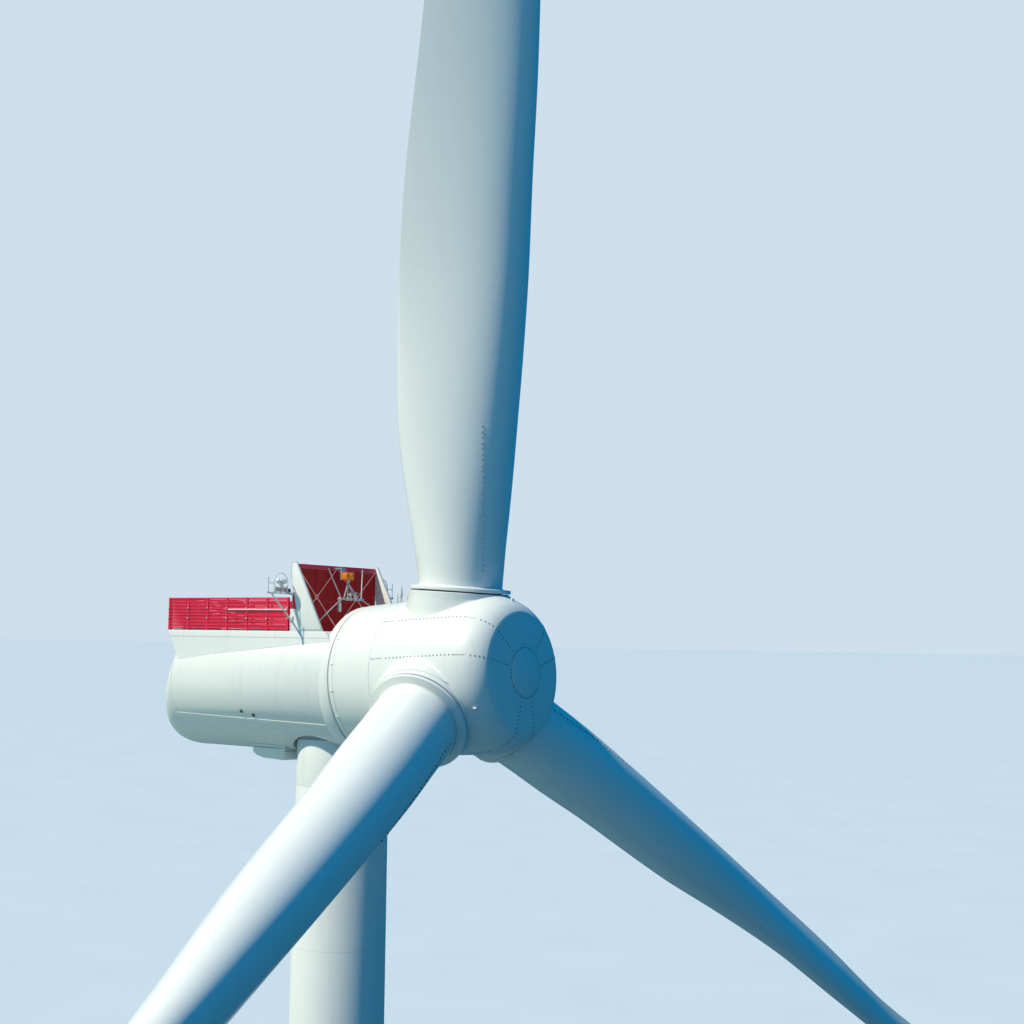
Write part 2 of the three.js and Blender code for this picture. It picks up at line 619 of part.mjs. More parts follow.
// Cross-bar and tripod held off the cooler by two hangers above and two struts below.
function buildSensorFrame() {
  const [right, left] = SENSOR_BAR_Y;
  const [rightEnd, leftEnd] = SENSOR_BAR_ENDS;
  const [rightHanger, leftHanger] = SENSOR_HANGERS_Y;
  const wall = FIN_INNER_Y - SEAT_GAP;
  const bar = (y) => [SENSOR_X, y, SENSOR_BAR_Z];
  const hanger = (y) => [SENSOR_HANGER_X, y, SENSOR_HANGER_Z];
  const strut = (y) => [SENSOR_STRUT_X, y, SENSOR_STRUT_Z];
  const thin = SENSOR_ROD_RADIUS;
  const [depth, width, height] = BEACON_SIZE;
  const [x, y, apexZ] = SENSOR_APEX;
  node(nacelle, "sensor_frame", join([
    rod(bar(rightEnd), bar(leftEnd), SENSOR_BAR_RADIUS),
    ...SENSOR_LEGS_Y.map((legY) => rod(SENSOR_APEX, bar(legY), thin, THIN_SIDES)),
    rod(hanger(rightHanger), bar(right), thin, THIN_SIDES),
    rod(hanger(leftHanger), bar(left), thin, THIN_SIDES),
    rod(strut(-FIN_INNER_Y), bar(right), thin, THIN_SIDES),
    rod(strut(FIN_INNER_Y), bar(left), thin, THIN_SIDES),
    ...INSTRUMENTS.map(([atY, end, radius]) => rod(bar(atY), [SENSOR_X, atY, end], radius)),
    rod([x, y, apexZ], [x, y, BEACON_FOOT_Z - SEAT_GAP], BEACON_STEM_RADIUS),
  ]).intersect(box(
    BEAM_FRONT_X + SEAT_GAP, FIN_FOOT_FRONT_X, -wall, wall, DECK_Z, FIN_TOP_Z,
  )), GALVANISED);
  node(nacelle, "beacon_box", box(
    x - depth / 2, x + depth / 2, y - width / 2, y + width / 2,
    BEACON_FOOT_Z, BEACON_FOOT_Z + height,
  ), ORANGE);
  const back = x - depth / 2 - SEAT_GAP;
  const armY = [y - width / 2, y - width / 2 + BEACON_ARM_WIDTH];
  const [armFoot, armTop] = BEACON_ARM_Z;
  node(nacelle, "beacon_bracket", join([
    box(BEAM_FRONT_X + SEAT_GAP, back, ...armY, armFoot, armTop),
    box(back - BEACON_ARM_THICKNESS, back, ...armY, BEACON_FOOT_Z, armTop),
  ]), GALVANISED);
}

// A hoop of short bars over the lamp, standing on the shelf in the plane of the shelf's centre.
function lampHoop(side) {
  const foot = LIGHT_SHELF_Z;
  const tube = LIGHT_TUBE_RADIUS;
  const at = (angle) => [
    LIGHT_X,
    side * (LIGHT_HOOP_Y - LIGHT_HOOP_RADIUS * Math.cos(angle)),
    LIGHT_HOOP_Z + LIGHT_HOOP_RADIUS * Math.sin(angle),
  ];
  const bars = [];
  for (let i = 0; i < LIGHT_HOOP_PARTS; i++) {
    const from = (Math.PI * i) / LIGHT_HOOP_PARTS;
    const to = (Math.PI * (i + 1)) / LIGHT_HOOP_PARTS;
    bars.push(rod(at(from), at(to), tube, THIN_SIDES));
  }
  for (const angle of [0, Math.PI]) {
    const [x, y, z] = at(angle);
    bars.push(rod([x, y, foot], [x, y, z + tube], tube, THIN_SIDES));
  }
  return join(bars);
}

function buildLightBrackets() {
  const half = DECK_HALF_WIDTH;
  const wall = half + SEAT_GAP;
  const foot = LIGHT_SHELF_Z;
  const shelfTop = foot + LIGHT_SHELF_THICKNESS;
  const [plateRear, plateFront] = LIGHT_PLATE_X;
  const [padRear, padFront] = LIGHT_PAD_X;
  const [boxInner, boxOuter] = LAMP_BOX_Y;
  const [strutX, strutZ] = LIGHT_STRUT_FOOT;
  const lampFoot = LAMP_BOX_TOP - LIGHT_TUBE_RADIUS;
  const lampHeight = LAMP_TOP - lampFoot;
  for (const [name, side] of [["right", -1], ["left", 1]]) {
    const span = (a, b) => [side * a, side * b].sort((p, q) => p - q);
    const post = side * LIGHT_POST_Y;
    node(nacelle, "light_bracket_" + name, join([
      box(
        LIGHT_X - LIGHT_SHELF_HALF, LIGHT_X + LIGHT_SHELF_HALF,
        ...span(wall, LIGHT_REACH), foot, shelfTop,
      ),
      box(
        plateRear, plateFront, ...span(wall, wall + LIGHT_PLATE_THICKNESS),
        foot - LIGHT_PLATE_HEIGHT, shelfTop,
      ),
      box(
        padRear, padFront, ...span(wall, half + LIGHT_PLATE_THICKNESS), ...LIGHT_PAD_Z,
      ),
      rod(
        [LIGHT_X, side * LIGHT_STRUT_Y, foot],
        [strutX, side * (half + LIGHT_PLATE_THICKNESS / 2 + LIGHT_STRUT_RADIUS), strutZ],
        LIGHT_STRUT_RADIUS, THIN_SIDES,
      ),
      rod(
        [LIGHT_X, post, foot], [LIGHT_X, post, LIGHT_POST_TOP],
        LIGHT_TUBE_RADIUS, THIN_SIDES,
      ),
      lampHoop(side),
    ]), GALVANISED);
    node(nacelle, "deck_light_" + name, join([
      box(
        LIGHT_X - LAMP_BOX_HALF, LIGHT_X + LAMP_BOX_HALF, ...span(boxInner, boxOuter),
        shelfTop + SEAT_GAP, LAMP_BOX_TOP,
      ),
      turnedUp([
        [0, lampFoot],
        [LAMP_NECK_RADIUS, lampFoot],
        [LAMP_NECK_RADIUS, lampFoot + LAMP_NECK_SHARE * lampHeight],
        [LAMP_SKIRT_RADIUS, lampFoot + LAMP_SKIRT_SHARE * lampHeight],
        [LAMP_SKIRT_RADIUS - 2 * LIGHT_TUBE_RADIUS, LAMP_TOP],
        [0, LAMP_TOP],
      ], SMALL_ROUND).translate([LIGHT_X, side * LAMP_Y, 0]),
    ]), WHITE);
  }
}

// Antennas on a short rail ahead of the left fin.
function buildAntennaRack() {
  const y = FIN_INNER_Y - SEAT_GAP - RACK_INSET;
  const foot = DECK_Z + SEAT_GAP;
  const [rear, front] = RACK_BAR_X;
  node(nacelle, "antenna_rack", join([
    rod([RACK_POST_X, y, foot], [RACK_POST_X, y, RACK_BAR_Z], RACK_BAR_RADIUS),
    rod([rear, y, RACK_BAR_Z], [front, y, RACK_BAR_Z], RACK_BAR_RADIUS),
    ...ANTENNAS.map(([x, top, radius]) =>
      rod([x, y, RACK_BAR_Z], [x, y, top], radius, THIN_SIDES)),
  ]), GALVANISED);
}

function buildBellyBox() {
  const rear = BELLY_FOOT[0][0];
  const front = BELLY_FOOT[BELLY_FOOT.length - 1][0];
  const outline = [[rear, BELLY_TOP_Z], ...BELLY_FOOT, [front, BELLY_TOP_Z]];
  const tray = plate(outline, -BELLY_HALF_WIDTH, BELLY_HALF_WIDTH);
  node(nacelle, "belly_box", tray.subtract(canopyForm(SEAT_GAP)), WHITE);
}

function buildGenerator() {
  const radius = GENERATOR_RADIUS;
  const rear = GENERATOR_REAR_X;
  const rearRadius = GENERATOR_REAR_RADIUS;
  const chamfer = BAND_CHAMFER;
  node(rotor, "generator_band", turnedAlong([
    [rear, 0],
    [rear, rearRadius - chamfer],
    [rear + chamfer, rearRadius],
    [GENERATOR_BAND_X - SEAT_GAP, rearRadius],
    [GENERATOR_BAND_X - SEAT_GAP, 0],
  ]), WHITE);
  node(rotor, "generator_shell", turnedAlong([
    [GENERATOR_BAND_X, 0],
    [GENERATOR_BAND_X, rearRadius + BAND_STEP],
    [GENERATOR_FRONT_X - SEAT_GAP, radius],
    [GENERATOR_FRONT_X - SEAT_GAP, 0],
  ]), WHITE);
  node(nacelle, "main_bearing", placed(turnedAlong([
    [rear - RUNNING_GAP + SEAT_GAP, 0],
    [rear - RUNNING_GAP + SEAT_GAP, MAIN_BEARING_RADIUS],
    [rear - BEARING_GAP, MAIN_BEARING_RADIUS],
    [rear - BEARING_GAP, 0],
  ]), shaftFrame()), GREY);
}

// The frame of one blade: Z along its pitch axis, X upwind and Y towards its leading edge.
function bladeFrame(index) {
  const turn = PARKED_ANGLE + (index * 2 * Math.PI) / BLADE_COUNT;
  const around = new THREE.Matrix4().makeRotationX(-turn);
  return around.multiply(new THREE.Matrix4().makeRotationY(BLADE_CONE));
}

// The spinner's side curves in as a superellipse and ends in a nearly flat disc.
function spinnerProfile() {
  const profile = [[GENERATOR_FRONT_X, 0], [GENERATOR_FRONT_X, GENERATOR_RADIUS]];
  const power = 2 / SPINNER_CURVE_POWER;
  for (let i = 0; i <= SPINNER_CURVE_STEPS; i++) {
    const angle = (Math.PI / 2) * (i / SPINNER_CURVE_STEPS);
    const along = i === 0 ? 0 : Math.sin(angle) ** power;
    const inward = i === SPINNER_CURVE_STEPS ? 0 : Math.cos(angle) ** power;
    const radius = SPINNER_FACE_RADIUS + (GENERATOR_RADIUS - SPINNER_FACE_RADIUS) * inward;
    if (radius > NOSE_DISC_RADIUS || i === SPINNER_CURVE_STEPS) {
      profile.push([SPINNER_CURVE_X + (SPINNER_FRONT_X - SPINNER_CURVE_X) * along, radius]);
    }
  }
  profile.push([SPINNER_FRONT_X, 0]);
  return profile;
}

function buildSpinner() {
  const seat = COLLAR_FOOT - SEAT_GAP;
  const boss = turnedUp([
    [0, 0],
    [COLLAR_RADIUS + BOSS_FLARE[0][0], 0],
    ...BOSS_FLARE.map(([flare, height]) => [COLLAR_RADIUS + flare, height]),
    [COLLAR_RADIUS, seat],
    [0, seat],
  ], COLLAR_ROUND);
  const running = (COLLAR_RADIUS + RUNNING_GAP) / Math.cos(Math.PI / COLLAR_ROUND);
  const pocket = turnedUp([
    [0, seat],
    [COLLAR_RADIUS + SEAT_GAP, seat],
    [COLLAR_RADIUS + SEAT_GAP, COLLAR_TOP - SEAT_GAP],
    [running, COLLAR_TOP],
    [running, POCKET_TOP],
    [0, POCKET_TOP],
  ], COLLAR_ROUND);
  const ahead = box(GENERATOR_FRONT_X, FAR, -FAR, FAR, -FAR, FAR);
  let spinner = turnedAlong(spinnerProfile());
  for (let i = 0; i < BLADE_COUNT; i++) {
    spinner = spinner.add(placed(boss, bladeFrame(i))).subtract(placed(pocket, bladeFrame(i)));
  }
  node(rotor, "spinner_shell", spinner.intersect(ahead), WHITE);
  node(rotor, "nose_cap", turnedAlong([
    [SPINNER_FRONT_X + SEAT_GAP, 0],
    [SPINNER_FRONT_X + SEAT_GAP, NOSE_RADIUS],
    [SPINNER_FRONT_X + NOSE_HEIGHT, NOSE_RADIUS - NOSE_HEIGHT],
    [SPINNER_FRONT_X + NOSE_HEIGHT, 0],
  ]), WHITE);
}

// A section that starts as a circle at the root and turns into an aerofoil.
function bladeSection([distance, chord, ratio, twist, axis, upwind]) {
  const left = (AEROFOIL_FROM - distance) / (AEROFOIL_FROM - ROUND_UNTIL);
  const roundness = Math.min(1, Math.max(0, left)) ** ROUND_POWER;
  const theta = THREE.MathUtils.degToRad(twist);
  const points = [];
  for (let i = 0; i < SECTION_POINTS; i++) {
    const angle = (2 * Math.PI * i) / SECTION_POINTS;
    const x = (1 - Math.cos(angle)) / 2;
    const foil = FOIL_SCALE * FOIL_TERMS.reduce(
      (sum, term, power) => sum + term * x ** (power + 1), FOIL_ROOT_TERM * Math.sqrt(x));
    const circle = Math.sqrt(Math.max(0, x * (1 - x)));
    const half = chord * ratio * ((1 - roundness) * foil + roundness * circle);
    const across = Math.sin(angle) >= 0 ? half : -half;
    const along = chord * (axis - x);
    points.push([
      (along * Math.sin(theta) + across * Math.cos(theta) + upwind) * M,
      (along * Math.cos(theta) - across * Math.sin(theta)) * M,
    ]);
  }
  return points;
}

// A closed loft through the sections, capped at both ends.
function loft(rings) {
  const position = [];
  const index = [];
  const count = rings[0].length;
  rings.forEach((ring) => ring.forEach((point) => position.push(...point)));
  for (let r = 0; r + 1 < rings.length; r++) {
    for (let i = 0; i < count; i++) {
      const a = r * count + i;
      const b = r * count + ((i + 1) % count);
      index.push(a, b, b + count, a, b + count, a + count);
    }
  }
  const last = (rings.length - 1) * count;
  for (let i = 1; i + 1 < count; i++) {
    index.push(0, i + 1, i, last, last + i, last + i + 1);
  }
  const geometry = new THREE.BufferGeometry();
  geometry.setAttribute("position", new THREE.Float32BufferAttribute(position, 3));
  geometry.setIndex(index);
  return solid(geometry);
}

function buildBlade(index) {
  const frame = bladeFrame(index);
  const root0 = COLLAR_TOP + BEARING_GAP;
  const rings = BLADE_STATIONS.map((station) =>
    bladeSection(station).map(([x, y]) => [x, y, root0 + station[0] * M]));
  const name = "blade_" + (index + 1);
  node(rotor, name, placed(loft(rings), frame), BLADE_WHITE);
  const collar = turnedUp([
    [0, COLLAR_FOOT],
    [COLLAR_RADIUS, COLLAR_FOOT],
    [COLLAR_RADIUS, COLLAR_TOP],
    [0, COLLAR_TOP],
  ], COLLAR_ROUND);
  node(rotor, "pitch_collar_" + (index + 1), placed(collar, frame), WHITE);
  const foot = COLLAR_TOP + RUNNING_GAP;
  const inner = ((BLADE_STATIONS[0][1] / 2) * M + SEAT_GAP) / Math.cos(Math.PI / COLLAR_ROUND);
  const ring = turnedUp([
    [inner, foot],
    [COLLAR_RADIUS, foot],
    [COLLAR_RADIUS, foot + BLADE_RING_EDGE],
    [inner, foot + BLADE_RING_HEIGHT],
    [inner, foot],
  ], COLLAR_ROUND);
  node(rotor, "blade_root_ring_" + (index + 1), placed(ring, frame), WHITE);
}

buildTower();
buildCanopy();
buildDeck();
buildRails();
buildCooler();
buildSensorFrame();
buildLightBrackets();
buildAntennaRack();
buildBellyBox();
buildGenerator();
buildSpinner();
for (let i = 0; i < BLADE_COUNT; i++) {
  buildBlade(i);
}

export default root;
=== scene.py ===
# Looks of an offshore wind turbine head at 1:10: tower top, nacelle, hub and three blades.
# Pieces are drawn in full-size metres in the frame of the nacelle, the rotor or a blade,
# and a place matrix brings them to the model's size and position.
import math

import bpy
from mathutils import Matrix, Vector
from mathutils.bvhtree import BVHTree


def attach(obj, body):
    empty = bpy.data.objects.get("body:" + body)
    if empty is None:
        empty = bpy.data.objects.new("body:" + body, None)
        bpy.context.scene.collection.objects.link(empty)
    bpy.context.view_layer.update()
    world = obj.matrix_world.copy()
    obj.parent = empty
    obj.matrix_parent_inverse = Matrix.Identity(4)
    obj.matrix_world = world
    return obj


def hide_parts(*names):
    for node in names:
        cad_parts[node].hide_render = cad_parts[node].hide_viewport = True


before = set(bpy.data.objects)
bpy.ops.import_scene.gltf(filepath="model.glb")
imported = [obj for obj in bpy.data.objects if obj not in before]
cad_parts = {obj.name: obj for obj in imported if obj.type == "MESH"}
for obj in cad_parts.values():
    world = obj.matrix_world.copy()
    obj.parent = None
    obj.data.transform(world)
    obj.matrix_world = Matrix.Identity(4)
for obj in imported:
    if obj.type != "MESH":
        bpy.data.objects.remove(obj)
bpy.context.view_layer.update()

M = 0.1
NACELLE = Vector((0.03, 0.0, 2.1))
HUB = NACELLE + Vector((5.475, 0.0, 4.64)) * M
TILT = math.radians(3.7)
CONE = math.radians(6.9)
PARKED = math.radians(0.3)
BLADES = 3
SIDES = (("right", -1), ("left", 1))

# Rotor sizes in full-size metres.
GENERATOR_REAR = -4.0
BAND_FRONT = -3.78
GENERATOR_FRONT = -1.95
REAR_RADIUS = 3.1
DRUM_RADIUS = 3.14
CURVE_X = 1.27
NOSE_X = 3.5
FACE_RADIUS = 1.4
DISC_RADIUS = 2.38
COLLAR_FOOT = 3.1
COLLAR_TOP = 3.36
COLLAR_RADIUS = 2.05
PANEL_HALF_ANGLE = math.radians(15.3)
PANEL_JOINTS = (0.1, 0.7, 1.25, 1.8, 2.35, 2.7)

TOWER_PLACE = Matrix.Scale(M, 4)
NACELLE_PLACE = Matrix.Translation(NACELLE) @ Matrix.Scale(M, 4)
ROTOR_TURN = Matrix.Rotation(-TILT, 4, "Y")
ROTOR_PLACE = Matrix.Translation(HUB) @ ROTOR_TURN @ Matrix.Scale(M, 4)
ALONG_X = Matrix.Rotation(math.pi / 2, 4, "Y")


def blade_turn(index):
    angle = PARKED + index * 2 * math.pi / BLADES
    return Matrix.Rotation(-angle, 4, "X") @ Matrix.Rotation(CONE, 4, "Y")


def blade_place(index):
    return ROTOR_PLACE @ blade_turn(index)


def spoke_at(clock):
    """The direction out from the rotor's axis at a clock angle."""
    return Vector((0, math.sin(clock), math.cos(clock)))


def standing(point, outward):
    """The place of a small piece that stands on a surface and points outwards."""
    turn = Vector(outward).to_track_quat("Z", "Y").to_matrix().to_4x4()
    return Matrix.Translation(Vector(point)) @ turn


# Modelling helpers. A face faces a way when its normal's share of that way is above FLAT.

FLAT = 0.9


def angles(count):
    return [2 * math.pi * k / count for k in range(count)]


def pick(obj):
    bpy.ops.object.select_all(action="DESELECT")
    obj.select_set(True)
    bpy.context.view_layer.objects.active = obj


def edit(obj, mode="VERT"):
    pick(obj)
    bpy.ops.object.mode_set(mode="EDIT")
    bpy.ops.mesh.select_mode(type=mode)
    bpy.ops.mesh.select_all(action="SELECT")


def leave():
    bpy.ops.object.mode_set(mode="OBJECT")


def apply(obj, kind, **values):
    pick(obj)
    modifier = obj.modifiers.new(kind.title(), kind)
    for key, value in values.items():
        setattr(modifier, key, value)
    bpy.ops.object.modifier_apply(modifier=modifier.name)


def primitive(name, add, **values):
    """A new primitive, selected alone, with its place and size in its mesh."""
    bpy.ops.object.select_all(action="DESELECT")
    add(**values)
    bpy.ops.object.transform_apply(location=True, rotation=True, scale=True)
    obj = bpy.context.object
    obj.name = name
    return obj


def in_scene(name, data):
    obj = bpy.data.objects.new(name, data)
    bpy.context.scene.collection.objects.link(obj)
    return obj


def mesh_piece(name, points, faces):
    mesh = bpy.data.meshes.new(name)
    mesh.from_pydata(points, [], faces)
    return in_scene(name, mesh)


def settle(obj, place, body, material, nodes=(), sharp=30):
    """Brings a finished piece to its place, gives it its finish and lets it ride."""
    obj.data.transform(place)
    obj.data.materials.clear()
    obj.data.materials.append(material)
    pick(obj)
    bpy.ops.object.shade_smooth_by_angle(angle=math.radians(sharp))
    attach(obj, body)
    if nodes:
        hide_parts(*nodes)


def tower_piece(obj, material, nodes=()):
    settle(obj, TOWER_PLACE, "tower", material, nodes)


def nacelle_piece(obj, material, nodes=(), sharp=30):
    settle(obj, NACELLE_PLACE, "nacelle", material, nodes, sharp)


def rotor_piece(obj, material, nodes=(), sharp=30, place=ROTOR_PLACE):
    settle(obj, place, "rotor", material, nodes, sharp)


def blade_piece(obj, index, material, nodes=(), sharp=30):
    settle(obj, blade_place(index), "blade_" + "abc"[index], material, nodes, sharp)


def turned(name, profile, steps=96, place=None):
    """A body of revolution about Z, drawn out loop by loop, then brought to a place."""
    radius, height = profile[0]
    obj = primitive(name, bpy.ops.mesh.primitive_circle_add,
                    vertices=steps, radius=radius, location=(0, 0, height))
    edit(obj, "EDGE")
    for next_radius, next_height in profile[1:]:
        rise = (0, 0, next_height - height)
        bpy.ops.mesh.extrude_edges_move(TRANSFORM_OT_translate={"value": rise})
        factor = next_radius / radius
        bpy.ops.transform.resize(value=(factor, factor, 1), center_override=(0, 0, next_height))
        radius, height = next_radius, next_height
    bpy.ops.mesh.select_all(action="SELECT")
    bpy.ops.mesh.remove_doubles(threshold=1e-4)
    bpy.ops.mesh.select_all(action="DESELECT")
    bpy.ops.mesh.select_non_manifold()
    bpy.ops.mesh.fill_holes(sides=0)
    bpy.ops.mesh.select_all(action="SELECT")
    bpy.ops.mesh.normals_make_consistent(inside=False)
    leave()
    if place is not None:
        obj.data.transform(place)
    return obj


def recess(obj, chosen, *steps):
    """Insets the chosen faces, once for each (thickness, depth)."""
    edit(obj, "FACE")
    bpy.ops.mesh.select_all(action="DESELECT")
    leave()
    for face in obj.data.polygons:
        face.select = chosen(face)
    bpy.ops.object.mode_set(mode="EDIT")
    for thickness, depth in steps:
        bpy.ops.mesh.inset(thickness=thickness, depth=depth)
    leave()
    return obj


def slab(name, low, high, bevel=0.01):
    """A block with rounded edges."""
    size = [b - a for a, b in zip(low, high)]
    middle = [(a + b) / 2 for a, b in zip(low, high)]
    obj = primitive(name, bpy.ops.mesh.primitive_cube_add, size=1, location=middle, scale=size)
    edit(obj, "EDGE")
    bpy.ops.mesh.bevel(offset=bevel, segments=2, affect="EDGES")
    leave()
    return obj


def bar(name, start, end, radius, sides=12):
    """A straight round bar with softened ends."""
    start, end = Vector(start), Vector(end)
    along = end - start
    obj = primitive(name, bpy.ops.mesh.primitive_cylinder_add,
                    vertices=sides, radius=radius, depth=along.length)
    obj.data.transform(standing((start + end) / 2, along))
    along.normalize()
    ends = (radius * 0.2, radius * 0.15)
    return recess(obj, lambda face: abs(face.normal.dot(along)) > FLAT, ends)


def beam(name, start, end, width, depth, bevel=0.01):
    """A straight bar of rectangular section, its width kept level across its run."""
    start, end = Vector(start), Vector(end)
    half = (end - start).length / 2
    obj = slab(name, (-width / 2, -depth / 2, -half), (width / 2, depth / 2, half), bevel)
    obj.data.transform(standing((start + end) / 2, end - start))
    return obj


def tube_hoop(name, points, radius, sides=8, closed=False):
    """A bent round tube through the given points."""
    points = [Vector(point) for point in points]
    count = len(points)
    rings = []
    for i, point in enumerate(points):
        before = points[(i - 1) % count] if closed or i else points[0]
        after = points[(i + 1) % count] if closed or i < count - 1 else points[-1]
        along = (after - before).normalized()
        across = along.cross(Vector((0.3, 0.9, 0.25))).normalized()
        upward = along.cross(across)
        rings.append([
            point + (across * math.cos(turn) + upward * math.sin(turn)) * radius
            for turn in angles(sides)
        ])
    return loft(name, rings, closed)


def merged(name, pieces):
    pick(pieces[0])
    for piece in pieces:
        piece.select_set(True)
    bpy.ops.object.join()
    obj = bpy.context.object
    obj.name = name
    return obj


def cut(obj, tool):
    apply(obj, "BOOLEAN", operation="DIFFERENCE", object=tool, solver="MANIFOLD")
    bpy.data.objects.remove(tool)


def softened(node, name, bevel, material):
    """A CAD node's own form, its loose triangles merged and its sharp edges rounded."""
    obj = in_scene(name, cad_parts[node].data.copy())
    edit(obj)
    bpy.ops.mesh.remove_doubles(threshold=2e-5)
    bpy.ops.mesh.dissolve_limited(angle_limit=math.radians(0.5))
    leave()
    apply(obj, "BEVEL", width=bevel, segments=2, limit_method="ANGLE",
          angle_limit=math.radians(25), harden_normals=False)
    settle(obj, Matrix.Identity(4), "nacelle", material, [node])


def loft(name, rings, closed=False):
    """A skin through rings of equal count, with flat ends unless it closes on itself."""
    count = len(rings[0])
    total = len(rings) * count
    faces = []
    for r in range(len(rings) if closed else len(rings) - 1):
        for i in range(count):
            a = r * count + i
            b = r * count + (i + 1) % count
            faces.append((a, b, (b + count) % total, (a + count) % total))
    if not closed:
        faces.append(tuple(reversed(range(count))))
        faces.append(tuple(range(total - count, total)))
    obj = mesh_piece(name, [point for ring in rings for point in ring], faces)
    edit(obj)
    bpy.ops.mesh.normals_make_consistent(inside=False)
    leave()
    return obj


def scattered(name, model, places):
    """Copies of one modelled piece, a copy at each place matrix, as a single mesh."""
    points = [vertex.co.copy() for vertex in model.data.vertices]
    faces = [tuple(face.vertices) for face in model.data.polygons]
    bpy.data.objects.remove(model)
    all_points, all_faces = [], []
    for place in places:
        start = len(all_points)
        all_points += [place @ point for point in points]
        all_faces += [tuple(start + i for i in face) for face in faces]
    return mesh_piece(name, all_points, all_faces)


def bolt_head(radius, height):
    head = primitive("bolt_head", bpy.ops.mesh.primitive_cylinder_add,
                     vertices=6, radius=radius, depth=height * 2)
    for face in head.data.polygons:
        face.select = face.normal.z > FLAT
    bpy.ops.object.mode_set(mode="EDIT")
    bpy.ops.mesh.select_mode(type="FACE")
    bpy.ops.mesh.inset(thickness=radius * 0.18, depth=height * 0.25)
    leave()
    return head


def bolt_row(name, places, radius, height):
    """Hexagon bolt heads, one at each (point, outward direction)."""
    return scattered(name, bolt_head(radius, height), [standing(*place) for place in places])


def skin_of(*objects):
    """A search tree over the faces of finished pieces, before they are brought to their place."""
    points, faces = [], []
    for obj in objects:
        start = len(points)
        points += [vertex.co.copy() for vertex in obj.data.vertices]
        faces += [tuple(start + i for i in face.vertices) for face in obj.data.polygons]
    return BVHTree.FromPolygons(points, faces)


def hit(skin, origin, towards):
    """Where a ray meets a skin, and the skin's outward direction there."""
    return skin.ray_cast(origin, towards)[:2]


# Shader groups.


def group_of(name, inputs, outputs):
    group = bpy.data.node_groups.new(name, "ShaderNodeTree")
    for socket, kind, value in inputs:
        made = group.interface.new_socket(name=socket, in_out="INPUT", socket_type=kind)
        if value is not None:
            made.default_value = value
    for socket, kind in outputs:
        group.interface.new_socket(name=socket, in_out="OUTPUT", socket_type=kind)
    tree = Tree(group)
    tree.start = group.nodes.new("NodeGroupInput")
    tree.end = group.nodes.new("NodeGroupOutput")
    return group, tree


class Tree:
    """Short calls for the nodes of one material or group."""

    def __init__(self, owner):
        self.owner = owner

    def new(self, kind):
        return self.owner.nodes.new("ShaderNode" + kind)

    def link(self, source, target):
        if hasattr(source, "is_output"):
            self.owner.links.new(source, target)
        else:
            target.default_value = source

    def math(self, operation, first, second=None, third=None, clamp=False):
        node = self.new("Math")
        node.operation = operation
        node.use_clamp = clamp
        for slot, value in zip(node.inputs, (first, second, third)):
            if value is not None:
                self.link(value, slot)
        return node.outputs[0]

    def times(self, first, second):
        return self.math("MULTIPLY", first, second)

    def noise(self, vector, scale, detail=3.0, rough=0.55):
        node = self.new("TexNoise")
        self.link(vector, node.inputs["Vector"])
        self.link(scale, node.inputs["Scale"])
        node.inputs["Detail"].default_value = detail
        node.inputs["Roughness"].default_value = rough
        return node.outputs[0]

    def spread(self, value, low, high, to_low=0.0, to_high=1.0):
        node = self.new("MapRange")
        for slot, given in zip(node.inputs, (value, low, high, to_low, to_high)):
            self.link(given, slot)
        return node.outputs[0]

    def stretch(self, vector, by):
        node = self.new("VectorMath")
        node.operation = "MULTIPLY"
        self.link(vector, node.inputs[0])
        node.inputs[1].default_value = by
        return node.outputs[0]

    def blend(self, share, first, second, kind="MIX"):
        node = self.new("Mix")
        node.data_type = "RGBA"
        node.blend_type = kind
        self.link(share, node.inputs[0])
        self.link(first, node.inputs[6])
        self.link(second, node.inputs[7])
        return node.outputs[2]

    def split(self, vector):
        node = self.new("SeparateXYZ")
        self.link(vector, node.inputs[0])
        return node.outputs

    def use(self, group, **values):
        node = self.new("Group")
        node.node_tree = group
        for key, value in values.items():
            self.link(value, node.inputs[key.replace("_", " ")])
        return node.outputs


WEATHER, t = group_of(
    "Weathering",
    [("Place", "NodeSocketVector", None), ("Size", "NodeSocketFloat", 1.0)],
    [("Mottle", "NodeSocketFloat"), ("Streaks", "NodeSocketFloat"), ("Grain", "NodeSocketFloat")],
)
place = t.start.outputs["Place"]
size = t.start.outputs["Size"]
broad = t.noise(place, t.times(size, 3.0), 4.0)
fine = t.noise(place, t.times(size, 19.0), 5.0, 0.62)
mottle = t.spread(t.math("ADD", t.times(broad, 0.6), t.times(fine, 0.4)), 0.36, 0.64)
runs = t.noise(t.stretch(place, (26.0, 26.0, 1.1)), size, 3.0, 0.5)
patches = t.noise(place, t.times(size, 2.1), 2.0)
streaks = t.times(t.spread(runs, 0.52, 0.72), t.spread(patches, 0.44, 0.62))
grain = t.noise(place, t.times(size, 320.0), 2.0)
t.link(mottle, t.end.inputs["Mottle"])
t.link(streaks, t.end.inputs["Streaks"])
t.link(grain, t.end.inputs["Grain"])

SEAM, t = group_of(
    "Seam line",
    [("Along", "NodeSocketFloat", 0.0), ("At", "NodeSocketFloat", 0.0),
     ("Width", "NodeSocketFloat", 0.001)],
    [("Line", "NodeSocketFloat")],
)
apart = t.math("ABSOLUTE", t.math("SUBTRACT", t.start.outputs["Along"], t.start.outputs["At"]))
half = t.times(t.start.outputs["Width"], 0.5)
t.link(t.spread(apart, half, t.start.outputs["Width"], 1.0, 0.0), t.end.inputs["Line"])


def rgba(colour):
    return (*colour, 1.0)


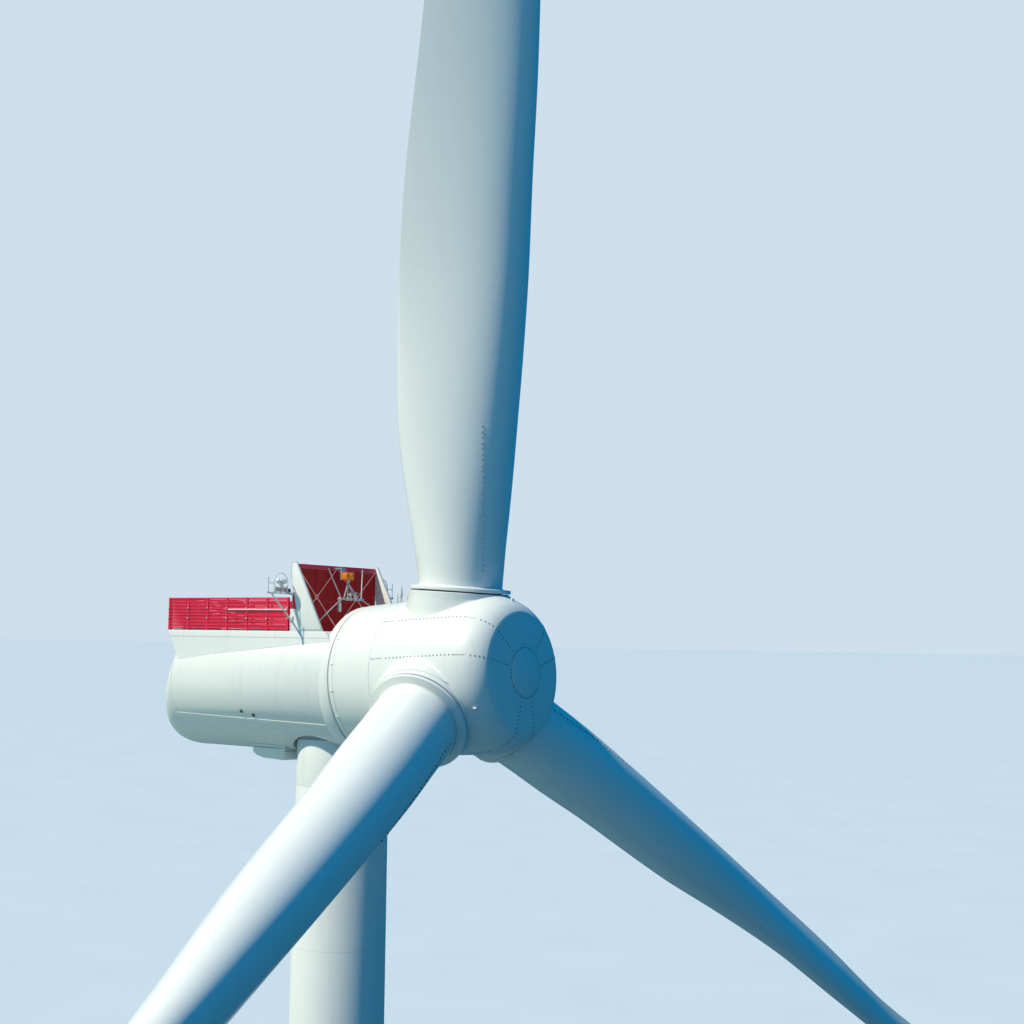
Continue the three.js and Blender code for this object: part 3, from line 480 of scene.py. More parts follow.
def painted(name, base, worn, roughness, size=1.0, wear=0.5, dirt=0.3, bump=0.1,
            metallic=0.0, coat=0.0, rotor=False, lines=None, painted_light=None):
    """A painted or coated surface with clouded colour, rain streaks, grain and panel lines; a
    painted_light colour, when given, is emitted as painted light.
    """
    material = bpy.data.materials.new(name)
    material.use_nodes = True
    tree = Tree(material.node_tree)
    shader = material.node_tree.nodes["Principled BSDF"]
    coordinates = tree.new("TexCoord").outputs["Object"]
    if rotor:
        mapping = tree.new("Mapping")
        mapping.vector_type = "TEXTURE"
        mapping.inputs["Location"].default_value = HUB
        mapping.inputs["Rotation"].default_value = (0, -TILT, 0)
        tree.link(coordinates, mapping.inputs[0])
        coordinates = mapping.outputs[0]
    weather = tree.use(WEATHER, Place=coordinates, Size=size)
    share = tree.times(weather["Mottle"], wear)
    colour = tree.blend(share, rgba(base), rgba(worn))
    soiled = tuple(channel * 0.55 for channel in worn)
    colour = tree.blend(tree.times(weather["Streaks"], dirt), colour, rgba(soiled))
    height = tree.times(weather["Grain"], 0.3)
    if lines:
        line = lines(tree, coordinates)
        dark = tuple(channel * 0.45 for channel in base)
        colour = tree.blend(tree.times(line, 0.8), colour, rgba(dark))
        height = tree.math("SUBTRACT", height, line)
    tree.link(colour, shader.inputs["Base Color"])
    rough = tree.spread(weather["Mottle"], 0.0, 1.0, roughness - 0.05, roughness + 0.1)
    tree.link(rough, shader.inputs["Roughness"])
    bumped = tree.new("Bump")
    bumped.inputs["Strength"].default_value = bump
    bumped.inputs["Distance"].default_value = 0.001
    tree.link(height, bumped.inputs["Height"])
    tree.link(bumped.outputs[0], shader.inputs["Normal"])
    shader.inputs["Metallic"].default_value = metallic
    shader.inputs["Coat Weight"].default_value = coat
    # Painted light: the surface glows with this colour, though it is no lamp.
    if painted_light:
        shader.inputs["Emission Color"].default_value = rgba(painted_light)
        shader.inputs["Emission Strength"].default_value = 1.0
    return material


def nacelle_x(x):
    return NACELLE.x + x * M


def nacelle_z(z):
    return NACELLE.z + z * M


def seam(tree, along, at, width):
    return tree.use(SEAM, Along=along, At=at, Width=width)[0]


def any_of(tree, values):
    total = values[0]
    for value in values[1:]:
        total = tree.math("MAXIMUM", total, value)
    return total


def canopy_lines(tree, coordinates):
    x = tree.split(coordinates)[0]
    return tree.times(seam(tree, x, nacelle_x(-2.05), 0.001), 0.08)


def trunk_lines(tree, coordinates):
    x, _, z = tree.split(coordinates)
    level = seam(tree, z, nacelle_z(6.08), 0.0016)
    above = tree.math("GREATER_THAN", z, nacelle_z(6.08))
    posts = [seam(tree, x, nacelle_x(at), 0.0012) for at in (-7.25, -4.6, -1.87)]
    return any_of(tree, [level, tree.times(any_of(tree, posts), above)])


def spinner_lines(tree, coordinates):
    """Panel joints at each side of the three inspection panels, and rings across them."""
    x, y, z = tree.split(coordinates)
    clock = tree.math("ARCTAN2", y, z)
    third = 2 * math.pi / BLADES
    wrapped = tree.math("FLOORED_MODULO", clock, third)
    off_middle = tree.math("ABSOLUTE", tree.math("SUBTRACT", wrapped, third / 2))
    square = tree.math("ADD", tree.times(y, y), tree.times(z, z))
    radius = tree.math("SQRT", square)
    across = tree.times(tree.math("SUBTRACT", off_middle, PANEL_HALF_ANGLE), radius)
    edge = seam(tree, across, 0.0, 0.0009)
    edge = tree.times(tree.times(edge, tree.math("LESS_THAN", x, 0.33)), 0.4)
    inside = tree.math("LESS_THAN", off_middle, PANEL_HALF_ANGLE)
    rings = [seam(tree, x, at * M, 0.0009) for at in PANEL_JOINTS]
    rings = tree.times(tree.times(any_of(tree, rings), inside), 0.45)
    return tree.times(any_of(tree, [edge, rings]), 0.6)


def generator_lines(tree, coordinates):
    x = tree.split(coordinates)[0]
    return tree.times(seam(tree, x, -3.7 * M, 0.001), 0.3)


def tower_lines(tree, coordinates):
    z = tree.split(coordinates)[2]
    welds = [seam(tree, z, at, 0.0014) for at in (0.28, 0.86, 1.44)]
    return tree.times(any_of(tree, welds), 0.4)


SHELL = dict(size=1.0, wear=0.3, dirt=0.12, bump=0.1, coat=0.25)
WHITE = (0.82, 0.84, 0.8)
WHITE_WORN = (0.74, 0.77, 0.745)
shell_white = painted("shell white", WHITE, WHITE_WORN, 0.36, lines=canopy_lines, **SHELL)
trunk_white = painted("trunk white", WHITE, WHITE_WORN, 0.4, lines=trunk_lines, **SHELL)
spinner_white = painted("spinner white", WHITE, WHITE_WORN, 0.34,
                        rotor=True, lines=spinner_lines, **SHELL)
drum_white = painted("drum white", WHITE, WHITE_WORN, 0.34,
                     rotor=True, lines=generator_lines, **SHELL)
tower_white = painted("tower white", (0.79, 0.815, 0.785), (0.7, 0.735, 0.715), 0.38,
                      lines=tower_lines, size=1.0, wear=0.35, dirt=0.16, bump=0.1, coat=0.2)
blade_white = painted("blade white", (0.86, 0.88, 0.845), (0.79, 0.815, 0.79), 0.3,
                      size=0.6, wear=0.22, dirt=0.06, bump=0.06, coat=0.3)
rail_red = painted("rail red", (0.9, 0.022, 0.075), (0.64, 0.016, 0.05), 0.42,
                   size=4.0, wear=0.6, dirt=0.25, bump=0.2)
# Painted light: the core's red glow keeps its shaded front face red.
cooler_red = painted("cooler red", (0.3, 0.004, 0.005), (0.16, 0.003, 0.004), 0.55,
                     size=3.0, wear=0.7, dirt=0.3, bump=0.2, painted_light=(0.055, 0.0004, 0.0006))
galvanised = painted("galvanised steel", (0.62, 0.63, 0.63), (0.45, 0.47, 0.48), 0.42,
                     size=6.0, wear=0.9, dirt=0.2, bump=0.2, metallic=0.5)
dark_grey = painted("dark grey", (0.1, 0.12, 0.13), (0.06, 0.08, 0.09), 0.5, size=3.0, bump=0.2)
bolt_grey = painted("bolt grey", (0.3, 0.31, 0.31), (0.2, 0.21, 0.21), 0.45, size=8.0, bump=0.2)
grey = painted("deck grey", (0.36, 0.4, 0.42), (0.27, 0.3, 0.32), 0.6, size=4.0, wear=0.8, bump=0.4)
orange = painted("orange", (0.9, 0.24, 0.01), (0.7, 0.16, 0.01), 0.4, size=6.0, bump=0.15)
pale = painted("pale fittings", (0.8, 0.79, 0.77), (0.66, 0.66, 0.64), 0.42,
               size=5.0, wear=0.7, bump=0.2)
primer = painted("primer", (0.6, 0.36, 0.34), (0.42, 0.24, 0.23), 0.55,
                 size=6.0, wear=0.8, bump=0.2)
# Painted reflection: the rods' pink tone and glow stand in for red light thrown back from the
# cooler.
stay_steel_painted_reflection = painted("stay steel", (0.8, 0.6, 0.57), (0.6, 0.43, 0.41), 0.4,
                     size=6.0, wear=0.7, bump=0.1, painted_light=(0.15, 0.07, 0.06))
lamp_glass = painted("lamp glass", (0.66, 0.72, 0.74), (0.5, 0.58, 0.62), 0.12,
                     size=8.0, bump=0.05, coat=0.6)


# Tower.


TOWER_FOOT_RADIUS = 2.02
TOWER_TOP_RADIUS = 1.92
TOWER_TOP = 22.9
TOWER_SEAM = 21.0
TOWER_WALL = 0.05


def tower_skin(name, low, high, node):
    slope = (TOWER_TOP_RADIUS - TOWER_FOOT_RADIUS) / TOWER_TOP
    wide = TOWER_FOOT_RADIUS + slope * low
    narrow = TOWER_FOOT_RADIUS + slope * high
    obj = turned(name, [
        (wide - TOWER_WALL, low), (wide, low), (wide, low + 0.02), (narrow, high - 0.02),
        (narrow - 0.01, high), (narrow - TOWER_WALL, high), (wide - TOWER_WALL, low),
    ], 128)
    tower_piece(obj, tower_white, [node])


def build_tower():
    tower_skin("tower_shell", 0.0, TOWER_SEAM, "tower_section")
    tower_skin("tower_top_shell", TOWER_SEAM + 0.003, TOWER_TOP, "tower_top_section")
    outer = TOWER_FOOT_RADIUS - TOWER_WALL - 0.006
    inner = outer - 0.28
    thick = 0.16
    flange = turned("tower_flange_ring", [
        (inner, 0.0), (outer, 0.0), (outer, thick), (outer - 0.03, thick),
        (inner, thick), (inner, 0.0),
    ], 128)
    tower_piece(flange, galvanised, ["tower_flange"])
    circle = outer - 0.14
    places = [((circle * math.cos(a), circle * math.sin(a), thick), (0, 0, 1)) for a in angles(96)]
    tower_piece(bolt_row("tower_flange_bolts", places, 0.03, 0.04), galvanised)


# Nacelle.

CANOPY_SEAM = -7.72
CANOPY_REAR_Z = 4.18
CANOPY_REAR_RADIUS = 2.87
CANOPY_FRONT = 1.6
CANOPY_FRONT_Z = 4.35
CANOPY_FRONT_RADIUS = 3.11
DOME_DEPTH = 0.67
DOME_LEAN = 0.57
DOME_POWER = 3.14
DOME_LEAST = 0.1
CANOPY_SLOPE = math.atan2(CANOPY_FRONT_Z - CANOPY_REAR_Z, CANOPY_FRONT - CANOPY_SEAM)
CANOPY_PLACE = (
    NACELLE_PLACE @ Matrix.Translation((CANOPY_SEAM, 0, CANOPY_REAR_Z))
    @ Matrix.Rotation(-CANOPY_SLOPE, 4, "Y")
)
SPLIT_Z = 2.59
SPLIT_SLOPE = math.radians(1.4)
DECK_Z = 6.36
DECK_BODY_Z = 6.02
DECK_HALF = 2.65


def build_canopy():
    for node in ("canopy_lower_shell", "canopy_upper_shell", "canopy_front_ring"):
        softened(node, node + "_skin", 0.0008, shell_white)
    rings = []
    steps = 26
    for i in range(steps + 1):
        angle = math.pi / 2 * 0.97 * (1 - i / steps)
        inward = math.cos(angle) ** (2 / DOME_POWER)
        back = math.sin(angle) ** (2 / DOME_POWER) if i < steps else 0.0
        ring = []
        for turn in angles(128):
            z = CANOPY_REAR_RADIUS * inward * math.cos(turn)
            depth = max(DOME_DEPTH - DOME_LEAN * z, DOME_LEAST) - 0.015
            ring.append((-back * depth - 0.003, CANOPY_REAR_RADIUS * inward * math.sin(turn), z))
        rings.append(ring)
    dome = loft("canopy_dome", rings)
    dome.data.transform(NACELLE_PLACE.inverted() @ CANOPY_PLACE)
    cut(dome, slab("above", (-10, -4, DECK_BODY_Z), (2, 4, 8), 0.001))
    nacelle_piece(dome, shell_white, ["canopy_end_cap"], sharp=40)
    build_side_strips()
    build_drains()


def canopy_radius(x):
    """The canopy's centre height and radius at a distance along the nacelle."""
    share = (x - CANOPY_SEAM) / (CANOPY_FRONT - CANOPY_SEAM)
    centre = CANOPY_REAR_Z + (CANOPY_FRONT_Z - CANOPY_REAR_Z) * share
    return centre, CANOPY_REAR_RADIUS + (CANOPY_FRONT_RADIUS - CANOPY_REAR_RADIUS) * share


def canopy_side(x, z, side, proud=0.0):
    """A point on the canopy's side wall and its outward direction."""
    centre, radius = canopy_radius(x)
    rise = (z - centre) / radius
    across = math.sqrt(max(0.0, 1 - rise * rise))
    outward = Vector((0, side * across, rise))
    return Vector((x, side * radius * across, z)) + outward * proud, outward


def build_side_strips():
    """The joint between the lower and the upper shell: a pale strip with a drip edge."""
    for name, side in SIDES:
        rings = []
        steps = 40
        for i in range(steps + 1):
            x = CANOPY_SEAM + 0.06 + (0.9 - CANOPY_SEAM) * i / steps
            z = SPLIT_Z - x * math.tan(SPLIT_SLOPE)
            edges = ((-0.03, -0.01), (-0.03, 0.006), (0.0, 0.012), (0.02, 0.008), (0.024, -0.01))
            rings.append([canopy_side(x, z + lift, side, proud)[0] for lift, proud in edges])
        strip = loft("side_joint_strip_" + name, rings)
        nacelle_piece(strip, shell_white)


def build_drains():
    """Short drain pipes low on both sides of the canopy, in dark grey that is painted shade for the
    drain holes.
    """
    for name, side in SIDES:
        pieces = []
        for x, z in ((-3.64, 2.98), (-3.0, 2.84)):
            pieces.append(turned("pipe", [
                (0.035, -0.05), (0.035, 0.03), (0.05, 0.045), (0.062, 0.03), (0.062, 0.0),
                (0.09, 0.0), (0.09, -0.05), (0.035, -0.05),
            ], 20, standing(*canopy_side(x, z, side))))
        nacelle_piece(merged("drain_pipes_" + name, pieces), dark_grey)


def build_deck():
    softened("deck_trunk", "deck_trunk_skin", 0.0025, trunk_white)
    softened("belly_box", "belly_box_skin", 0.003, shell_white)
    build_belly_details()
    build_deck_details()
    build_rail_details()


def build_belly_details():
    """Bolts along the tray's edges, and a vent with slanting blades under it."""
    places = [((-4.15 + 0.12 * i, side * 1.25, 1.42), (0, side, 0))
              for side in (-1, 1) for i in range(14)]
    places += [((-2.48, -1.12 + 0.14 * i, 1.3), (1, 0, 0)) for i in range(17)]
    nacelle_piece(bolt_row("belly_bolts", places, 0.024, 0.018), bolt_grey)
    vent = slab("belly_vent_frame", (-3.5, -0.6, 0.93), (-2.7, 0.6, 0.98), 0.012)
    recess(vent, lambda face: face.normal.z < -FLAT, (0.06, 0.0), (0.01, -0.03))
    blade = slab("blade", (-0.34, -0.012, -0.012), (0.34, 0.012, 0.012), 0.004)
    lean = Matrix.Rotation(0.6, 4, "X")
    places = [Matrix.Translation((-3.1, -0.5 + 0.1 * i, 0.945)) @ lean for i in range(11)]
    vent = merged("belly_vent", [vent, scattered("vent_blades", blade, places)])
    nacelle_piece(vent, dark_grey)


def build_deck_details():
    """A hatch with hinges and a grip, treads across the deck, and lifting eyes at its corners."""
    floor = DECK_Z + 0.05
    pieces = [
        slab("hatch_frame", (-6.9, -0.75, floor), (-5.4, 0.75, floor + 0.03), 0.01),
        slab("hatch_lid", (-6.8, -0.65, floor + 0.02), (-5.5, 0.65, floor + 0.09), 0.02),
    ]
    for y in (-0.4, 0.4):
        pieces += [
            bar("hinge", (-6.88, y - 0.12, floor + 0.08), (-6.88, y + 0.12, floor + 0.08), 0.035),
            slab("leaf", (-6.88, y - 0.1, floor + 0.085), (-6.6, y + 0.1, floor + 0.105), 0.008),
        ]
    bends = ((-0.16, 0.08), (-0.16, 0.14), (0.16, 0.14), (0.16, 0.08))
    pieces.append(tube_hoop("grip", [(-5.62, y, floor + rise) for y, rise in bends], 0.014))
    nacelle_piece(merged("deck_hatch", pieces), pale)
    tread = slab("tread", (-0.02, -2.3, 0), (0.02, 2.3, 0.012), 0.004)
    lines = (-7.6, -7.3, -5.1, -4.6, -4.1, -3.6, -3.1, -2.6, -2.1, -1.6)
    treads = scattered("deck_treads", tread, [Matrix.Translation((x, 0, floor)) for x in lines])
    nacelle_piece(treads, galvanised)
    eyes = []
    for x in (-7.6, -1.6):
        for y in (-2.2, 2.2):
            loop = [(x + 0.09 * math.cos(a), y, floor + 0.07 + 0.09 * math.sin(a))
                    for a in angles(20)]
            low, high = (x - 0.13, y - 0.09, floor), (x + 0.13, y + 0.09, floor + 0.025)
            eyes += [tube_hoop("eye", loop, 0.022, closed=True), slab("foot", low, high, 0.008)]
    nacelle_piece(merged("deck_lifting_eyes", eyes), galvanised)


RAIL_REAR = -8.2
RAIL_FRONT = -1.22
RAIL_LINE = DECK_HALF - 0.045


def build_rail_details():
    """Clamps and foot plates on the posts, slim bars between the main ones, and pale tubes."""
    spots = [(RAIL_REAR + (RAIL_FRONT - RAIL_REAR) * i / 6, side * RAIL_LINE, (0, side, 0))
             for i in range(7) for side in (-1, 1)]
    spots += [(RAIL_REAR, RAIL_LINE * (-1 + 0.4 * i), (-1, 0, 0)) for i in range(1, 5)]
    clamps = [standing(Vector((x, y, z)) + Vector(outward) * 0.045, outward)
              for x, y, outward in spots for z in (6.86, 7.3)]
    feet = [Matrix.Translation((x, y, DECK_Z + 0.003)) for x, y, _ in spots]
    clamp = slab("clamp", (-0.034, -0.034, -0.01), (0.034, 0.034, 0.025), 0.008)
    for face in clamp.data.polygons:
        face.select = face.normal.z > FLAT and face.area > 0.001
    bpy.ops.object.mode_set(mode="EDIT")
    bpy.ops.mesh.inset(thickness=0.01, depth=0.008)
    leave()
    nacelle_piece(scattered("rail_clamps", clamp, clamps), primer)
    plate = slab("plate", (-0.1, -0.045, 0.0), (0.1, 0.045, 0.025), 0.008)
    nacelle_piece(scattered("rail_feet", plate, feet), rail_red)
    infill = []
    for i in range(9):
        z = DECK_Z + 0.103 + 0.1389 * (i + 0.5)
        runs = [(RAIL_REAR, RAIL_FRONT, y - 0.016, y + 0.016) for y in (-RAIL_LINE, RAIL_LINE)]
        runs.append((RAIL_REAR - 0.016, RAIL_REAR + 0.016, -2.5, 2.5))
        for ax, bx, ay, by in runs:
            infill.append(slab("bar", (ax, ay, z - 0.025), (bx, by, z + 0.025), 0.008))
    nacelle_piece(merged("rail_infill_bars", infill), rail_red)
    tubes = [bar("tube", (-4.6, y, 7.24), (RAIL_FRONT, y, 7.24), 0.028)
             for y in (-DECK_HALF - 0.02, DECK_HALF + 0.02)]
    nacelle_piece(merged("rail_pale_tubes", tubes), pale)


COOLER_EDGE = 2.567
PANEL_MIDDLES = (-1.9, -0.635, 0.635, 1.9)
FIN_RIM = ((0.69, 6.38), (-0.8, 9.21), (-1.0, 9.21), (-1.06, 9.06), (-1.05, 8.5), (-0.91, 8.05),
           (-0.73, 7.27))
GUARD_EDGES = (
    ((-1.1, 7.28), (-1.1, 7.92)), ((-0.84, 7.28), (-0.84, 7.92)),
    ((-1.1, 7.28), (-0.84, 7.28)), ((-1.1, 7.92), (-0.84, 7.92)),
)


def build_cooler():
    """Core with framed louvre panels, and a top beam with brackets."""
    foot, top, edge = DECK_Z + 0.003, 8.974, COOLER_EDGE
    bars = [slab("core_body", (-0.985, -edge, foot), (-0.925, edge, top), 0.006)]
    for face, inward in ((-0.88, -0.05), (-1.02, 0.05)):
        near, far = sorted((face, face + inward))
        for y in (-2.53, -1.27, 0.0, 1.27, 2.53):
            bars.append(slab("upright", (near, y - 0.035, foot), (far, y + 0.035, top), 0.008))
        for z in (6.42, 7.66, 8.92):
            bars.append(slab("rail", (near, -edge, z - 0.04), (far, edge, z + 0.04), 0.008))
    slat = slab("slat", (-0.006, -0.6, -0.035), (0.006, 0.6, 0.035), 0.003)
    bars.append(scattered("slats", slat, [
        Matrix.Translation((x, y, 6.51 + row * 1.25 + i * 0.077)) @ Matrix.Rotation(lean, 4, "Y")
        for x, lean in ((-0.905, 0.5), (-1.0, -0.5)) for y in PANEL_MIDDLES
        for row in range(2) for i in range(15)
    ]))
    nacelle_piece(merged("cooler_panels", bars), cooler_red, ["cooler_core"])
    caps = [slab("beam", (-1.02, -edge, 8.98), (-0.88, edge, 9.15), 0.015)]
    for y in PANEL_MIDDLES:
        caps.append(slab("bracket", (-1.03, y - 0.05, 9.0), (-0.96, y + 0.05, 9.16), 0.008))
    nacelle_piece(merged("cooler_beam", caps), rail_red, ["cooler_top_beam"])


def framing(name, y, runs, width, depth):
    """Beams at one distance from the middle, one for each run from (x, z) to (x, z)."""
    return [beam(name, (ax, y, az), (bx, y, bz), width, depth, 0.006)
            for (ax, az), (bx, bz) in runs]


def build_fins():
    """Fins with edge flanges, bolts along feet and rear edges, and a grey wire guard behind, whose
    grey is painted shade.
    """
    for name, side in SIDES:
        softened("cooler_fin_" + name, "fin_skin_" + name, 0.002, shell_white)
        edges = framing("flange", side * (DECK_HALF - 0.04), zip(FIN_RIM, FIN_RIM[1:]), 0.1, 0.022)
        y = side * 2.52
        edges.append(beam("foot_angle", (-0.5, y, 6.4), (0.6, y, 6.4), 0.09, 0.07, 0.01))
        nacelle_piece(merged("fin_flanges_" + name, edges), pale)
        spots = [(-0.45 + 0.1 * i, 6.42) for i in range(12)]
        spots += [(-1.03, 6.45 + 0.13 * i) for i in range(6)]
        places = [((x, side * DECK_HALF, z), (0, side, 0)) for x, z in spots]
        nacelle_piece(bolt_row("fin_bolts_" + name, places, 0.018, 0.012), bolt_grey)
        # Painted shade: the grey guard fills the patch behind the fin's rear edge where only shade
        # is seen.
        y = side * 2.5
        guard = framing("edge", y, GUARD_EDGES, 0.03, 0.03)
        wire = slab("wire", (-0.004, -0.004, -0.32), (0.004, 0.004, 0.32), 0.001)
        places = [Matrix.Translation((-1.08 + 0.012 * i, y, 7.6)) for i in range(20)]
        guard.append(scattered("wire", wire, places))
        nacelle_piece(merged("fin_guard_painted_shade_" + name, guard), grey)


def build_instruments():
    """Wind vane, cup wheel, clamps and beacon on the frame ahead of the cooler."""
    x, vane_y, cups_y = -0.3, 0.55, 0.25
    pieces = [
        bar("vane_rod", (x - 0.22, vane_y, 8.02), (x + 0.2, vane_y, 8.02), 0.014),
        slab("vane_tail", (x - 0.32, 0.543, 7.93), (x - 0.16, 0.557, 8.12), 0.004),
        turned("vane_hub", [(0.03, 7.95), (0.05, 7.98), (0.05, 8.04), (0.02, 8.07)], 16,
               Matrix.Translation((x, vane_y, 0))),
        turned("cup_hub", [(0.025, 7.88), (0.04, 7.92), (0.04, 7.98), (0.015, 8.01)], 16,
               Matrix.Translation((x, cups_y, 0))),
    ]
    start = Vector((x, cups_y, 7.95))
    for angle in angles(3):
        out = Vector((math.cos(0.4 + angle), math.sin(0.4 + angle), 0))
        pieces += [
            bar("cup_arm", start, start + out * 0.13, 0.01, 8),
            turned("cup", [
                (0.02, -0.05), (0.045, -0.03), (0.055, 0.0),
                (0.05, 0.0), (0.04, -0.02), (0.01, -0.04),
            ], 14, standing(start + out * 0.15, out.cross(Vector((0, 0, 1))))),
        ]
    for y in (-0.45, 0.05, cups_y, vane_y, 0.8):
        low, high = (x - 0.065, y - 0.04, 7.69), (x + 0.065, y + 0.04, 7.81)
        pieces.append(slab("clamp", low, high, 0.012))
    pieces.append(turned("sensor_can", [
        (0.04, 7.2), (0.075, 7.22), (0.075, 7.52), (0.05, 7.56), (0.05, 7.7),
    ], 20, Matrix.Translation((x, -0.45, 0))))
    nacelle_piece(merged("wind_instruments", pieces), pale)
    box = slab("box", (x - 0.15, -0.2, 8.56), (x + 0.15, 0.3, 8.86), 0.03)
    lens = turned("lens", [(0.13, 0.0), (0.13, 0.02), (0.1, 0.06), (0.05, 0.09), (0.01, 0.1)], 24,
                  standing((x + 0.15, 0.05, 8.71), (1, 0, 0)))
    ribs = [slab("rib", (x - 0.155, y, 8.555), (x + 0.155, y + 0.02, 8.875), 0.006)
            for y in (-0.15, -0.05, 0.13, 0.23)]
    nacelle_piece(merged("beacon_housing", [box, lens] + ribs), orange, ["beacon_box"])


def build_stays():
    """Thin crossed rods with a ring at each crossing, and turnbuckles on the lower halves."""
    x, inner, top, foot = -0.847, COOLER_EDGE, 9.08, 6.52
    middle = (top + foot) / 2
    corners = ((0.06, top - 0.07), (inner - 0.06, top - 0.07), (0.02, foot + 0.02),
               (inner - 0.02, foot + 0.02))
    for name, side in SIDES:
        centre = Vector((x, side * inner / 2, middle))
        pieces = []
        for y, z in corners:
            end = Vector((x, side * y, z))
            towards = (end - centre).normalized()
            pieces.append(bar("rod", centre + towards * 0.07, end, 0.015, 8))
            if z < middle:
                near, far = centre + towards * 1.3, centre + towards * 1.55
                pieces.append(bar("turnbuckle", near, far, 0.028, 6))
        loop = [centre + Vector((0, 0.075 * math.cos(a), 0.075 * math.sin(a))) for a in angles(20)]
        pieces.append(tube_hoop("ring", loop, 0.02, closed=True))
        nacelle_piece(merged("cooler_rods_" + name, pieces), stay_steel_painted_reflection,
                      ["cooler_stays_" + name])


LAMP_BAR_X = -1.08
LAMP_BAR_Z = 7.87
LAMP_BAR_TOP = 7.93
LAMP_Y = 3.2
POST_Y = 3.98
FIN_OUTSIDE = 2.653


def build_light_brackets():
    """A slim bar out from the fin, its strut, and the post and hoop that stand on it."""
    x, shelf = LAMP_BAR_X, LAMP_BAR_Z
    for name, side in SIDES:
        def at(y, z, along=x):
            return (along, side * y, z)

        low, high = sorted((side * FIN_OUTSIDE, side * 4.05))
        near, far = sorted((side * FIN_OUTSIDE, side * 2.71))
        arch = [math.pi * k / 16 for k in range(17)]
        hoop = [at(3.24 - 0.41 * math.cos(a), 8.32 + 0.41 * math.sin(a)) for a in arch]
        pieces = [
            slab("bar", (x - 0.035, low, shelf), (x + 0.035, high, shelf + 0.06), 0.01),
            slab("plate", (-1.13, near, shelf - 0.03), (-0.9, far, shelf + 0.06), 0.01),
            slab("pad", (-1.05, near, 6.78), (-0.89, far, 6.98), 0.01),
            bar("strut", at(3.78, shelf), at(2.745, 6.86, -0.97), 0.036, 10),
            bar("post", at(POST_Y, shelf), at(POST_Y, 8.55), 0.022, 8),
            tube_hoop("hoop", [at(2.83, shelf)] + hoop + [at(3.65, shelf)], 0.02),
            tube_hoop("guard", [at(POST_Y, 8.3), at(3.7, 8.3), at(3.62, 8.36)], 0.014),
        ]
        nacelle_piece(merged("lamp_bar_" + name, pieces), pale,
                      ["light_bracket_" + name])


def build_lamps():
    """Lamps, ballast boxes, clamps and cable boxes on the bars that stand out at each side."""
    x, shelf = LAMP_BAR_X, LAMP_BAR_TOP
    for name, side in SIDES:
        low, high = sorted((side * 2.86, side * 3.6))
        case = slab("ballast_box_" + name, (x - 0.04, low + 0.05, shelf + 0.03),
                    (x + 0.04, high - 0.05, 8.11), 0.015)
        nacelle_piece(case, primer)
        pieces = [
            slab("rib", (x - 0.06, y - 0.022, shelf + 0.003), (x + 0.06, y + 0.022, 8.17), 0.008)
            for y in (low + 0.03, (low + high) / 2, high - 0.03)
        ]
        place = Matrix.Translation((x, side * LAMP_Y, 0))
        pieces.append(turned("cup", [
            (0.07, 8.14), (0.12, 8.15), (0.12, 8.18), (0.08, 8.2), (0.08, 8.27), (0.15, 8.3),
            (0.22, 8.36), (0.24, 8.41), (0.23, 8.45), (0.2, 8.485), (0.02, 8.5),
        ], 32, place))
        pieces.append(slab("tray", (x - 0.05, low, 8.12), (x + 0.05, high, 8.15), 0.008))
        nacelle_piece(merged("lamp_" + name, pieces), pale, ["deck_light_" + name])
        glass = turned("lamp_lens_" + name, [
            (0.15, 8.285), (0.19, 8.3), (0.215, 8.335), (0.17, 8.32), (0.15, 8.3),
        ], 32, place)
        nacelle_piece(glass, lamp_glass)
        clamp = slab("clamp", (-0.045, -0.035, -0.065), (0.045, 0.035, 0.03), 0.01)
        places = [Matrix.Translation((x, side * y, shelf)) for y in (2.83, 3.65, POST_Y)]
        nacelle_piece(scattered("shelf_clamps_" + name, clamp, places), galvanised)
        # Painted shade: the cable box's dark grey stands in for the shade the mount lies in beside
        # the fin.
        low, high = sorted((side * 2.68, side * 2.8))
        case = slab("cable_box_" + name, (-1.13, low, 7.94), (-1.03, high, 8.1), 0.012)
        recess(case, lambda face: face.normal.y * side > FLAT, (0.02, 0.008))
        nacelle_piece(case, dark_grey)


def build_antennas():
    y = 2.57 - 0.003 - 0.05
    pieces = []
    for x, top, radius in ((0.42, 7.95, 0.045), (0.62, 8.25, 0.07), (0.98, 7.85, 0.045)):
        pieces.append(turned("tip", [
            (0.02, top - 0.32), (radius, top - 0.3), (radius, top - 0.2), (radius * 0.55, top),
            (radius * 0.4, top + 0.1), (0.01, top + 0.14),
        ], 16, Matrix.Translation((x, y, 0))))
    nacelle_piece(merged("antenna_tips", pieces), pale)


# Blades.

BLADE_STATIONS = [
    (0, 3.4, 1, 54, 0.5, 0),
    (0.4, 3.4, 1, 54, 0.5, 0),
    (2, 3.75, 0.91, 53, 0.45, 0.06),
    (4, 4.3, 0.8, 52, 0.4, 0.12),
    (6.5, 4.8, 0.68, 50, 0.36, 0.18),
    (9.5, 5.1, 0.6, 47, 0.35, 0.18),
    (13, 5.3, 0.52, 44, 0.34, 0.18),
    (17, 5.25, 0.43, 42, 0.32, 0.23),
    (22, 5.0, 0.34, 39.5, 0.33, 0.2),
    (28, 4.6, 0.31, 37.5, 0.36, -0.1),
    (36, 3.7, 0.28, 38, 0.39, -0.6),
    (46, 3.0, 0.24, 36, 0.38, -0.45),
    (54, 2.65, 0.22, 33, 0.36, -0.35),
    (62, 2.15, 0.2, 31, 0.34, -0.25),
    (69, 1.7, 0.19, 29.5, 0.33, -0.15),
    (74, 1.25, 0.18, 28.5, 0.33, 0),
    (76.5, 0.8, 0.18, 28, 0.34, 0.1),
    (77.6, 0.3, 0.18, 28, 0.36, 0.15),
]
SECTION_POINTS = 72
ROOT = COLLAR_TOP + 0.005


